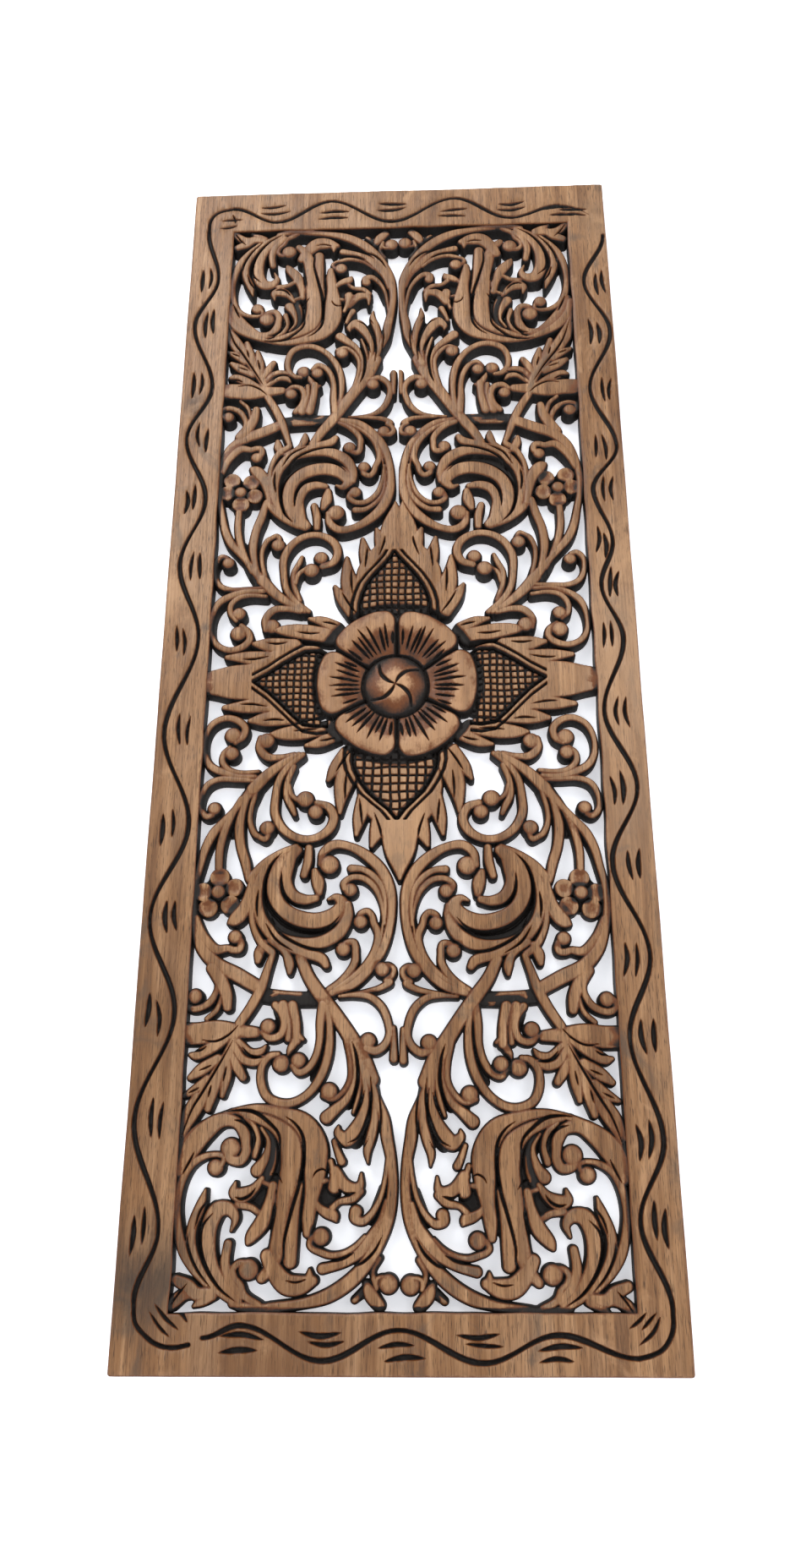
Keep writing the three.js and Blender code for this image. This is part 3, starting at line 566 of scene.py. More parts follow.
def section(inside, half, top):
    """Height of a strand where the ground is `inside` mm in from its edge."""
    edge = np.clip(inside / np.minimum(RIM, half), 0, 1)
    face = top - LIP * (1 - edge) ** 2
    swell = CROWN * np.clip(inside / np.maximum(half, 1.0), 0, 1) * np.minimum(half / 4, 1)
    return np.where(inside >= 0, face + swell, top - LIP + inside * FLANK)


class Field:
    """How far the wood stands out over the back, and how far inside the outline each point lies."""

    def __init__(self):
        self.height = np.full((ROWS, COLUMNS), NOWHERE)
        self.inside = np.full((ROWS, COLUMNS), NOWHERE)

    def put(self, rows, columns, height, inside):
        here = (rows, columns)
        self.height[here] = np.maximum(self.height[here], height)
        self.inside[here] = np.maximum(self.inside[here], inside)

    def strand(self, curve, top):
        def visit(rows, columns, distance, half):
            inside = half - distance
            self.put(rows, columns, section(inside, half, top), inside + FOOT)
        along(curve, 3.0, visit)

    def knob(self, x, z, radius, top, dish):
        def visit(rows, columns, distance, half):
            inside = half - distance
            share = np.clip(distance / radius, 0, 1)
            height = section(inside, half, top)
            height = height + np.where(dish > 0, -dish * (1 - share ** 2) ** 0.7, 0.5 * (1 - share ** 2))
            self.put(rows, columns, height, inside + FOOT)
        along(np.array([(x, z, 2 * radius), (x, z + 1e-3, 2 * radius)]), 3.0, visit)


def tapered(points, width, steps=8):
    """A gouge cut: pointed at both ends and widest in the middle."""
    curve = smooth([(*p, 0.0) for p in points], steps)
    share = np.linspace(0, 1, len(curve))
    curve[:, 2] = width * np.maximum(np.sin(np.pi * share), 0.02) ** 0.55
    return curve


# ---- the carved forms ----------------------------------------------------------------------------

# How each hand-carved quarter strays from the drawn one. At a distance v from the level middle
# line: shifts in u, then shifts in v, each for a point near the upright middle line, one halfway
# to the frame and one beside it.
STRAY_AT = (10, 60, 125)
STRAY = {
    (1, -1): [(0, (0, 0, 0), (0.8, 0.6, 0.6)), (150, (0, 0, 0.5), (1, 1.2, 1.2)),
              (250, (-0.5, 0, 0.8), (1, 1, 1)), (414, (0, 0, 1.2), (0.5, 0.8, 1.8))],
    (-1, -1): [(0, (0.5, 0.5, 0.8), (1, 1, -1.5)), (31, (0.5, 0.5, 0.8), (0.5, 0, -3)),
               (46, (0.5, 1, 0.8), (0, 0, -4.5)), (57, (1, 1.2, 0.8), (0, 0, -2)),
               (100, (1, 1.2, 0.8), (0, 0, -1.5)),
               (200, (1, 1, 1), (0, -1.5, -2.5)), (226, (1, 0.5, 0), (0, 0.5, -3)),
               (250, (0.5, 0, 0), (0, -2, -3)), (290, (0.5, -0.5, 0), (-0.5, -2, -3.5)),
               (325, (0, -1, -1), (-0.5, -3.5, -4)), (350, (0, 0, 0), (-1, -3, -4)),
               (375, (0, 0, 0), (-0.5, -2, -2.5)), (414, (0, 0, 0), (0, -0.5, -2))],
    (1, 1): [(0, (0, 0, 0), (0, -3, -4)), (31, (0, 0, 0.5), (0, -3.5, -5.6)),
             (46, (0, -1, 0.5), (-0.5, -4, -8.5)), (57, (0, -1, 0.5), (-1, -4, -6.4)),
             (74, (0, 0, 0.5), (-1, -3, -2)),
             (105, (-1, 0, 0), (0, 0.5, -2)), (155, (-1, -1, 0), (1.5, -1, 1)),
             (190, (-1, -0.5, 0), (3, 1, 0)), (222, (-1, -1, 0), (3, -4, 0)),
             (245, (-1, -2, -1), (2, -1, -2)), (270, (-2, -2, -1), (1.5, 0, -3)),
             (290, (-2, -2, 0), (1, -1, -5)), (330, (-1.5, -1, 0), (1, -1, -2)),
             (350, (-2, -1, 0), (1, 0.5, 0)), (414, (-1, 1, 1.5), (0.5, 0.5, 0.5))],
    (-1, 1): [(0, (0.5, 0, 0.5), (-1, -1.5, -4)), (31, (1, 0, 0.5), (-1, -1.5, -6)),
              (46, (1.5, 0, 1), (-1, -1, -8)), (57, (2, 0, 1), (-1, -1, -2.5)),
              (74, (2, 1, 1), (-1, -1, -1)),
              (105, (2, 2, 0.5), (1, 1, 0)), (155, (2, 1, 0), (1.5, 2, 2)),
              (190, (2, 3, 2), (3, 2, 2)), (222, (1, 1, 1), (3, -2, 0)),
              (245, (1, 0.5, 0), (2, 2, 1)), (270, (1, 0, 0), (1.5, 0, 0)),
              (300, (1, 1, 1), (1, 0, 0)), (330, (1, 1, 0.5), (-1, -1.5, -1.5)),
              (350, (0, 0, -0.5), (-0.5, -0.5, -0.5)), (414, (-1, -0.5, -0.5), (0, 0.5, 0.5))],
}
# How far the leaves of the lotuses stray in a quarter: the upright ones sideways, the level ones up.
LOTUS_STRAY = {(1, -1): (0, -1), (-1, -1): (1, 0), (1, 1): (-2.5, -2.5), (-1, 1): (3, -0.5)}


def stray_at(side, level, u, v):
    """Where a point of the pattern lies on the panel in one quarter."""
    rows = STRAY[side, level]
    heights = [row[0] for row in rows]
    shifts = []
    for axis in (1, 2):
        columns = [np.interp(v, heights, [row[axis][k] for row in rows]) for k in range(3)]
        shifts.append(np.interp(u, STRAY_AT, columns))
    return side * (u + shifts[0]), level * (v + shifts[1]) - FIELD_DROP


def carve_quarter(side, level):
    """The openwork of one quarter: side is 1 on the right, level is 1 above the middle."""

    def place(u, v):
        return stray_at(side, level, u, v)

    def lay(item, top):
        if "centre" in item:
            x, z = place(*item["centre"])
            field.knob(x, z, item["radius"], top, item["dish"])
        else:
            curve = [(*place(u, v), width) for u, v, width in item["stations"]]
            field.strand(smooth(curve), top)

    field = Field()
    variety = np.random.default_rng(7 + 2 * side + level)
    for item in GROUND:
        lay(item, RELIEF_TOP - GROUND_DROP)
    for item in QUARTER:
        lay(item, RELIEF_TOP - item["drop"] - variety.uniform(0, UNEVEN_TOPS))
    floor = np.zeros((ROWS, COLUMNS))
    for width, points in CUTS:
        cut_into(floor, tapered([place(u, v) for u, v in points], width))
    field.height -= floor
    x, z = GRID_X[None, :], GRID_Z[:, None]
    past = np.minimum(side * x, level * (z + FIELD_DROP)) + 0 * x * z
    field.inside = np.minimum(field.inside, past + 0.01)
    return field


def cut_into(floor, curve, slope=2.4, deepest=3.0):
    """Deepens the floor under a V cut."""
    def visit(rows, columns, distance, half):
        here = (rows, columns)
        floor[here] = np.maximum(floor[here], np.minimum((half - distance) * slope, deepest))
    along(curve, 0.5, visit)


def carve_pod(field, axis_distance, off_axis, outline, pitch, wobble):
    """A swollen, cross-cut pod between two grooves with a ridge, along one axis of the panel."""
    outline = np.array(outline, float)
    one_side = np.interp(axis_distance, outline[:, 0], outline[:, 1], left=-9, right=-9)
    other_side = np.interp(axis_distance, outline[:, 0], outline[:, 2], left=-9, right=-9)
    middle = (one_side - other_side) / 2
    half = (one_side + other_side) / 2
    inside = (half - np.abs(off_axis - middle)) * 0.8
    share = np.clip(np.abs(off_axis - middle) / np.maximum(half, 0.5), 0, 1)
    swell = POD_TOP - POD_SWELL * share ** 2.2 - 0.8 * (1 - np.clip(inside / 2.2, 0, 1)) ** 2
    lines = np.zeros_like(swell)
    for direction in (axis_distance, off_axis):
        away = np.abs((direction + wobble) / pitch - np.round((direction + wobble) / pitch)) * pitch
        lines = np.maximum(lines, np.clip((1.15 - away) * 2.2, 0, 1.9))
    pod = swell - lines * np.clip(inside / 1.2, 0, 1)
    field.height = np.where(inside > 0, pod, field.height)
    beside = axis_distance > outline[0, 0] - 2
    for distance, width in POD_GROOVES:
        groove = np.clip((width - np.abs(inside - distance)) * 2.0, 0, 2.6)
        field.height = np.where(beside, field.height - groove, field.height)


def carve_centre():
    """The four lotuses and the flower over them."""
    field = Field()
    floor = np.zeros((ROWS, COLUMNS))
    variety = np.random.default_rng(23)
    for (side, level), (shift_x, shift_z) in LOTUS_STRAY.items():
        for lotus, cuts, across, up in ((UPRIGHT_LOTUS, UPRIGHT_CUTS, shift_x, 0),
                                        (LEVEL_LOTUS, LEVEL_CUTS, 0, shift_z)):
            def placed(points):
                return [(side * u + across, level * v + up - FIELD_DROP, *rest)
                        for u, v, *rest in points]
            for item in lotus:
                top = RELIEF_TOP - 0.1 - variety.uniform(0, 0.3)
                field.strand(smooth(placed(item["stations"])), top)
            for width, points in cuts:
                cut_into(floor, tapered(placed(points), width))
    field.height -= floor
    x = GRID_X[None, :] + 0 * GRID_Z[:, None]
    z = GRID_Z[:, None] + FIELD_DROP + 0 * GRID_X[None, :]
    wobble = 0.35 * Waves(3, 22)(x, z)
    carve_pod(field, z, x, POD_ABOVE, 5.3, wobble)
    carve_pod(field, -z, x, POD_BELOW, 6.1, wobble)
    for side in (1, -1):
        carve_pod(field, side * x, z, POD_BESIDE, 5.0, wobble)
    along_x, along_z = x - FLOWER_AT[0], z - FIELD_DROP - FLOWER_AT[1]
    radius = np.hypot(along_x / FLOWER_STRETCH[0], along_z / FLOWER_STRETCH[1])
    field.height -= FLOWER_MOAT * (1 - ease(59.5, 64, radius))
    height, inside = flower_surface(along_x / FLOWER_STRETCH[0], along_z / FLOWER_STRETCH[1], radius)
    field.height = np.maximum(field.height, height)
    field.inside = np.maximum(field.inside, inside)
    return field


def flower_surface(x, z, radius):
    """Height of the flower, and how far inside its outline each point lies; x and z from its middle."""
    angle = np.degrees(np.arctan2(z, x))
    sector = (angle + PETAL_ANGLE / 2) % PETAL_ANGLE - PETAL_ANGLE / 2
    number = np.floor((angle + PETAL_ANGLE / 2) / PETAL_ANGLE).astype(int) % PETALS
    reach = FLOWER_RADIUS + np.array(PETAL_REACH)[number]
    outer = reach - 3.0 * np.abs(sector / (PETAL_ANGLE / 2)) ** 4
    to_side = radius * np.sin(np.radians(PETAL_ANGLE / 2 - np.abs(sector))) - PETAL_GAP
    to_rim = outer - radius
    blend = np.clip(0.5 + 0.5 * (to_side - to_rim) / PETAL_CORNER, 0, 1)
    inside = to_side * (1 - blend) + to_rim * blend - PETAL_CORNER * blend * (1 - blend)
    bowl = BOWL_FLOOR + BOWL_RISE * ease(14, 48, radius) - 0.7 * ease(49, 58, radius)
    lift = 0.35 * np.cos(np.radians(sector * 3)) * ease(30, 50, radius)
    edge = np.clip(inside / PETAL_EDGE, 0, 1)
    petal = bowl + lift - PETAL_FALL * (1 - edge) ** 2.4
    petal = np.where(inside > 0, petal, bowl - PETAL_FALL + inside * FLANK)
    petal = petal + 0.12 * Waves(31, 11)(x, z)
    floor = np.zeros((ROWS, COLUMNS))
    variety = np.random.default_rng(11)
    for petal_number in range(PETALS):
        for offset, start, stop in PETAL_GOUGES:
            turn = math.radians(petal_number * PETAL_ANGLE + offset + variety.uniform(-1, 1))
            bend = math.radians(variety.uniform(-2, 2))
            length = stop + variety.uniform(-2.5, 2.5)
            points = []
            for share in (0, 0.5, 1):
                r = start + (length - start) * share
                points.append((FLOWER_AT[0] + r * math.cos(turn + bend * share),
                               FLOWER_AT[1] + r * math.sin(turn + bend * share)))
            cut_into(floor, tapered(points, variety.uniform(2.2, 3.0)), slope=2.2, deepest=2.4)
    petal = petal - floor
    hub_x = x + FLOWER_AT[0] - HUB_AT[0]
    hub_z = z + FLOWER_AT[1] - HUB_AT[1]
    from_hub = np.hypot(hub_x, hub_z)
    hub_inside = HUB_RADIUS - from_hub
    dome = HUB_TOP - HUB_FALL * np.clip(from_hub / HUB_RADIUS, 0, 1) ** 2.4
    dome = dome - HUB_LIP * (1 - np.clip(hub_inside / 2.2, 0, 1)) ** 2
    dome = np.where(hub_inside > 0, dome, HUB_TOP - HUB_FALL - HUB_LIP + hub_inside * FLANK)
    ring = np.clip(1 - np.abs(hub_inside + 0.9) / 1.4, 0, 1)
    petal = petal - HUB_RING_DEPTH * ring
    swirl = np.zeros((ROWS, COLUMNS))
    for arm in range(4):
        points = []
        for share in (0, 0.3, 0.65, 1):
            turn = math.radians(arm * 90 + SWIRL_END + SWIRL_TURN * (1 - share ** 1.5))
            reach = SWIRL_REACH * share
            points.append((HUB_AT[0] + reach * math.cos(turn), HUB_AT[1] + reach * math.sin(turn)))
        curve = smooth([(*p, 0.0) for p in points], 8)
        curve[:, 2] = 1.3 + 2.3 * np.sin(np.pi * np.linspace(0, 1, len(curve)) ** 0.9)
        cut_into(swirl, curve, slope=1.7, deepest=2.2)
    height = np.maximum(petal, dome - swirl)
    return height, np.where(radius < FLOWER_RADIUS - 6, 9.0, np.maximum(inside, -9.0))


def crest_line(crests, steps=10):
    """A wavy line that swings from crest to crest."""
    points = []
    for (xa, ya), (xb, yb) in zip(crests[:-1], crests[1:]):
        for k in range(steps):
            share = k / steps
            swing = (1 - math.cos(math.pi * share)) / 2
            if abs(xb - xa) < abs(yb - ya):
                points.append((xa + (xb - xa) * swing, ya + (yb - ya) * share))
            else:
                points.append((xa + (xb - xa) * share, ya + (yb - ya) * swing))
    return [*points, crests[-1]]


def bay_gouges(crests):
    """A pair of gouge cuts beside each crest but the ends, on its hollow side."""
    variety = np.random.default_rng(int(crests[0][0] * 10))
    pairs = []
    for before, here, after in zip(crests[:-2], crests[1:-1], crests[2:]):
        middle = ((before[0] + after[0]) / 2, (before[1] + after[1]) / 2)
        upright = abs(after[1] - before[1]) > abs(after[0] - before[0])
        across = 0 if upright else 1
        towards = 1 if middle[across] > here[across] else -1
        bay = abs(middle[across] - here[across])
        nearer = bay * 0.55 + variety.uniform(-0.7, 0.7)
        farther = bay * 0.55 + 6.2 + variety.uniform(-0.6, 0.9)
        for distance in (nearer, farther):
            half = variety.uniform(10.5, 13.5)
            shift = variety.uniform(-4, 4)
            arch = variety.uniform(0.2, 2.2) * -towards
            tilt = variety.uniform(-1.2, 1.2)
            points = []
            for share in (-1, 0, 1):
                offset = towards * distance + arch * (1 - share * share) + tilt * share
                if upright:
                    points.append((here[0] + offset, here[1] + shift + half * share))
                else:
                    points.append((here[0] + shift + half * share, here[1] + offset))
            pairs.append((variety.uniform(3.4, 4.6), points))
    return pairs


def carve_frame():
    field = Field()
    x = GRID_X[None, :] + 0 * GRID_Z[:, None]
    z = GRID_Z[:, None] + 0 * GRID_X[None, :]
    wander = Waves(5, 160)
    ripple = Waves(8, 38)
    edge_x = np.abs(x) - (HALF_WIDTH - 0.2 - 0.15 * wander(0 * x + np.sign(x) * 80, z))
    edge_z = np.abs(z) - (HALF_HEIGHT - 0.2 - 0.15 * wander(x, 0 * z + np.sign(z) * 80))
    outer = CORNER_RADIUS - np.hypot(np.maximum(edge_x + CORNER_RADIUS, 0),
                                     np.maximum(edge_z + CORNER_RADIUS, 0))
    outer = np.minimum(outer, np.minimum(-edge_x, -edge_z))
    left, right = OPENING["left"] - HALF_WIDTH, OPENING["right"] - HALF_WIDTH
    top, bottom = HALF_HEIGHT - OPENING["top"], HALF_HEIGHT - OPENING["bottom"]
    hand = 0.3 * ripple(x, z)
    opening = np.maximum(np.maximum(left - x, x - right), np.maximum(z - top, bottom - z)) + hand
    field.inside = np.minimum(outer, opening)
    face = BOARD - 0.2 + 0.1 * ripple(z, x) + 0.08 * Waves(13, 14)(x * 1.5, z * 0.4)
    face = face - 1.1 * (1 - np.clip(outer / 1.8, 0, 1)) ** 2
    face = face - 0.9 * (1 - np.clip(opening / 1.6, 0, 1)) ** 2
    floor = np.zeros((ROWS, COLUMNS))

    def on_board(points):
        return [(px - HALF_WIDTH, HALF_HEIGHT - py) for px, py in points]

    for crests in (LEFT_CRESTS, BOTTOM_CRESTS, RIGHT_CRESTS, TOP_CRESTS):
        curve = smooth([(*p, WAVE_WIDTH) for p in on_board(crest_line(crests))], 2)
        curve[:, 2] += 0.5 * np.sin(np.arange(len(curve)) * 0.21 + crests[0][0])
        cut_into(floor, curve, slope=GOUGE_SLOPE, deepest=WAVE_DEPTH)
    for points in CORNER_LINES:
        cut_into(floor, smooth([(*p, WAVE_WIDTH - 0.3) for p in on_board(points)]), slope=GOUGE_SLOPE)
    fading = smooth([(*p, WAVE_WIDTH) for p in on_board(WORN_CORNER)])
    fading[:, 2] = np.linspace(WAVE_WIDTH, 0.6, len(fading))
    cut_into(floor, fading, slope=1.7)
    for crests in (LEFT_CRESTS, BOTTOM_CRESTS, RIGHT_CRESTS, TOP_CRESTS + WORN_CORNER[1:]):
        for width, points in bay_gouges(crests):
            cut_into(floor, tapered(on_board(points), width), slope=GOUGE_SLOPE, deepest=GOUGE_DEPTH)
    for width, points in CORNER_GOUGES:
        cut_into(floor, tapered(on_board(points), width + 0.6), slope=GOUGE_SLOPE, deepest=2.4)
    field.height = face - floor
    return field


# ---- from fields to meshes -----------------------------------------------------------------------


def spread(values, cells):
    """The greatest value within so many cells, along both axes."""
    for axis in (0, 1):
        best = values.copy()
        for shift in range(1, cells + 1):
            for way in (shift, -shift):
                best = np.maximum(best, np.roll(values, way, axis))
        values = best
    return values


def outline_mesh(field):
    """Front, back and walls of a field: points (x, height, z) in mm, and triangles."""
    inside, height = field.inside, np.maximum(field.height, LEAST_HEIGHT)
    solid = inside > 0
    rows, columns = np.nonzero(solid)
    r0, r1, c0, c1 = rows.min() - 1, rows.max() + 2, columns.min() - 1, columns.max() + 2
    inside, height, solid = inside[r0:r1, c0:c1], height[r0:r1, c0:c1], solid[r0:r1, c0:c1]
    x = np.broadcast_to(GRID_X[c0:c1][None, :], inside.shape)
    z = np.broadcast_to(GRID_Z[r0:r1][:, None], inside.shape)
    ny, nx = inside.shape
    ids = np.arange(ny * nx).reshape(ny, nx)
    corner = [ids[:-1, :-1], ids[:-1, 1:], ids[1:, 1:], ids[1:, :-1]]
    level, upright = ny * nx, 2 * ny * nx
    crossing = [level + ids[:-1, :-1], upright + ids[:-1, 1:], level + ids[1:, :-1], upright + ids[:-1, :-1]]

    def between(a, b):
        share = inside[a] / (inside[a] - inside[b])
        share = np.where(solid[a] != solid[b], np.clip(share, 0.02, 0.98), 0)
        mixed = [v[a] + (v[b] - v[a]) * share for v in (x, height, z)]
        return np.stack(mixed, -1)

    points = np.zeros((3 * ny * nx, 3))
    points[:ny * nx] = np.stack([x, height, z], -1).reshape(-1, 3)
    here, right, above = np.s_[:, :-1], np.s_[:, 1:], np.s_[1:, :]
    grid = points[level:upright].reshape(ny, nx, 3)
    grid[:, :-1] = between(here, right)
    grid = points[upright:].reshape(ny, nx, 3)
    grid[:-1, :] = between(np.s_[:-1, :], above)

    case = sum(solid[s].astype(int) << k for k, s in enumerate(
        (np.s_[:-1, :-1], np.s_[:-1, 1:], np.s_[1:, 1:], np.s_[1:, :-1])))
    faces, rims = [], []
    for code in range(1, 16):
        chosen = case == code
        if not chosen.any():
            continue
        if code == 15:
            a, b, c, d = (k[chosen] for k in corner)
            flat = height.reshape(-1)
            turn = np.abs(flat[a] - flat[c]) < np.abs(flat[b] - flat[d])
            faces += [np.stack([a, b, np.where(turn, c, d)], 1), np.stack([np.where(turn, a, b), c, d], 1)]
            continue
        loop, marks = [], []
        for k in range(4):
            if code >> k & 1:
                loop.append(corner[k][chosen])
                marks.append("corner")
            if (code >> k & 1) != (code >> (k + 1) % 4 & 1):
                loop.append(crossing[k][chosen])
                marks.append("out" if code >> k & 1 else "in")
        for k in range(1, len(loop) - 1):
            faces.append(np.stack([loop[0], loop[k], loop[k + 1]], 1))
        for k, mark in enumerate(marks):
            if mark == "out":
                rims.append(np.stack([loop[k], loop[(k + 1) % len(loop)]], 1))
    faces, rims = np.vstack(faces), np.vstack(rims)
    used, renamed = np.unique(faces, return_inverse=True)
    faces = renamed.reshape(faces.shape)
    rims = np.searchsorted(used, rims)
    front = points[used]
    back = front * (1, 0, 1)
    count = len(front)
    a, b = rims[:, 0], rims[:, 1]
    walls = [np.stack([b, a, a + count], 1), np.stack([b, a + count, b + count], 1)]
    return np.vstack([front, back]), np.vstack([faces, faces[:, ::-1] + count, *walls])


def new_mesh(name, points, triangles):
    mesh = bpy.data.meshes.new(name)
    mesh.vertices.add(len(points))
    mesh.vertices.foreach_set("co", points.astype(np.float32).ravel())
    mesh.loops.add(3 * len(triangles))
    mesh.loops.foreach_set("vertex_index", triangles.astype(np.int32).ravel())
    mesh.polygons.add(len(triangles))
    mesh.polygons.foreach_set("loop_start", np.arange(0, 3 * len(triangles), 3, dtype=np.int32))
    mesh.update(calc_edges=True)
    return mesh


def sample(values, x, z):
    """Values of a grid at any points, in straight lines between grid points."""
    column = np.clip((x - GRID_X[0]) / STEP, 0, COLUMNS - 1.001)
    row = np.clip((z - GRID_Z[0]) / STEP, 0, ROWS - 1.001)
    c, r = column.astype(int), row.astype(int)
    fc, fr = column - c, row - r
    near = values[r, c] * (1 - fc) + values[r, c + 1] * fc
    far = values[r + 1, c] * (1 - fc) + values[r + 1, c + 1] * fc
    return near * (1 - fr) + far * fr


def piece(name, field, target, around):
    """A closed mesh object of a field, thinned to about target triangles."""
    points, triangles = outline_mesh(field)
    if name != "frame":
        points[len(points) // 2:, 1] = BACK_SETBACK
    mesh = new_mesh(name, points * (MM, -MM, MM), triangles)
    rough = bpy.data.objects.new(name + "_rough", mesh)
    bpy.context.scene.collection.objects.link(rough)
    thin = rough.modifiers.new("thin", "DECIMATE")
    thin.ratio = min(1.0, target / len(triangles))
    bpy.context.view_layer.update()
    thinned = bpy.data.meshes.new_from_object(rough.evaluated_get(bpy.context.evaluated_depsgraph_get()))
    bpy.data.objects.remove(rough)
    bpy.data.meshes.remove(mesh)
    thinned.name = name
    result = bpy.data.objects.new(name, thinned)
    bpy.context.scene.collection.objects.link(result)

    count = len(thinned.vertices)
    co = np.zeros(3 * count, np.float32)
    thinned.vertices.foreach_get("co", co)
    co = co.reshape(-1, 3) / MM
    # How far each point lies under the wood round it; the material darkens with it: painted shade in the
    # cuts, hollows and openwork walls as well as stain left in the cuts.
    depth = np.clip(sample(around, co[:, 0], co[:, 2]) + co[:, 1], 0, DEEP)
    edge = (np.abs(co[:, 0]) > HALF_WIDTH - 1.2) | (np.abs(co[:, 2]) > HALF_HEIGHT - 1.2)
    depth = np.where(edge, np.minimum(depth, EDGE_SHADE_AND_STAIN), depth)
    shares = thinned.attributes.new("depth", "FLOAT", "POINT")
    shares.data.foreach_set("value", (depth / DEEP).astype(np.float32))

    faces = len(thinned.polygons)
    normals = np.zeros(3 * faces, np.float32)
    thinned.polygons.foreach_get("normal", normals)
    behind = normals.reshape(-1, 3)[:, 1] > 0.9
    thinned.polygons.foreach_set("material_index", behind.astype(np.int32))
    thinned.polygons.foreach_set("use_smooth", np.ones(faces, bool))
    thinned.set_sharp_from_angle(angle=math.radians(42))
    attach(result, "root")
    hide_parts("carved_panel")
    return result


# ---- materials -----------------------------------------------------------------------------------


class Nodes:
    """A few short ways to put a material's nodes together."""

    def __init__(self, name):
        self.material = bpy.data.materials.new(name)
        self.material.use_nodes = True
        self.tree = self.material.node_tree
        self.shader = self.tree.nodes["Principled BSDF"]
        self.place = self.add("ShaderNodeTexCoord").outputs["Object"]

    def add(self, kind, **values):
        node = self.tree.nodes.new(kind)
        for key, value in values.items():
            setattr(node, key, value)
        return node

    def join(self, source, socket):
        if isinstance(source, (int, float, tuple)):
            socket.default_value = source
        else:
            self.tree.links.new(source, socket)

    def stretched(self, size, offset=(0, 0, 0)):
        """The place on the object, divided by a size in metres along each axis."""
        node = self.add("ShaderNodeMapping")
        self.join(self.place, node.inputs["Vector"])
        node.inputs["Scale"].default_value = tuple(1 / part for part in size)
        node.inputs["Location"].default_value = offset
        return node.outputs["Vector"]

    def noise(self, vector, detail=4, rough=0.55, warp=0.0):
        node = self.add("ShaderNodeTexNoise")
        self.join(vector, node.inputs["Vector"])
        node.inputs["Scale"].default_value = 1
        node.inputs["Detail"].default_value = detail
        node.inputs["Roughness"].default_value = rough
        node.inputs["Distortion"].default_value = warp
        return node.outputs["Fac"]

    def math(self, kind, a, b=0.0, clamp=False):
        node = self.add("ShaderNodeMath", operation=kind, use_clamp=clamp)
        self.join(a, node.inputs[0])
        self.join(b, node.inputs[1])
        return node.outputs[0]

    def range(self, value, low_end, high_end, low_value=0.0, high_value=1.0):
        node = self.add("ShaderNodeMapRange", interpolation_type="SMOOTHSTEP")
        for socket, source in zip(node.inputs, (value, low_end, high_end, low_value, high_value)):
            self.join(source, socket)
        return node.outputs[0]

    def ramp(self, value, *stops):
        node = self.add("ShaderNodeValToRGB")
        self.join(value, node.inputs[0])
        elements = node.color_ramp.elements
        while len(elements) < len(stops):
            elements.new(0.5)
        for element, (position, color) in zip(elements, stops):
            element.position = position
            element.color = (*color, 1)
        return node.outputs["Color"]

    def mix(self, share, a, b, kind="MIX"):
        node = self.add("ShaderNodeMix", data_type="RGBA", blend_type=kind)
        node.clamp_factor = True
        sockets = [s for s in node.inputs if s.type == "RGBA"]
        self.join(share, node.inputs[0])
        for source, socket in ((a, sockets[0]), (b, sockets[1])):
            self.join((*source, 1) if isinstance(source, tuple) else source, socket)
        return [s for s in node.outputs if s.type == "RGBA"][0]

    def spot(self, x, z, radius, stretch=1.0):
        """1 at a place on the panel, falling to 0 at a radius; all in mm, x and z as on the frame."""
        node = self.add("ShaderNodeVectorMath", operation="DISTANCE")
        centre = ((x - HALF_WIDTH) * MM, 0, (HALF_HEIGHT - z) * MM)
        scale = self.add("ShaderNodeMapping")
        self.join(self.place, scale.inputs["Vector"])
        scale.inputs["Scale"].default_value = (1, 0, 1 / stretch)
        self.join(scale.outputs["Vector"], node.inputs[0])
        node.inputs[1].default_value = (centre[0], 0, centre[2] / stretch)
        return self.range(node.outputs["Value"], radius * MM, 0.0)


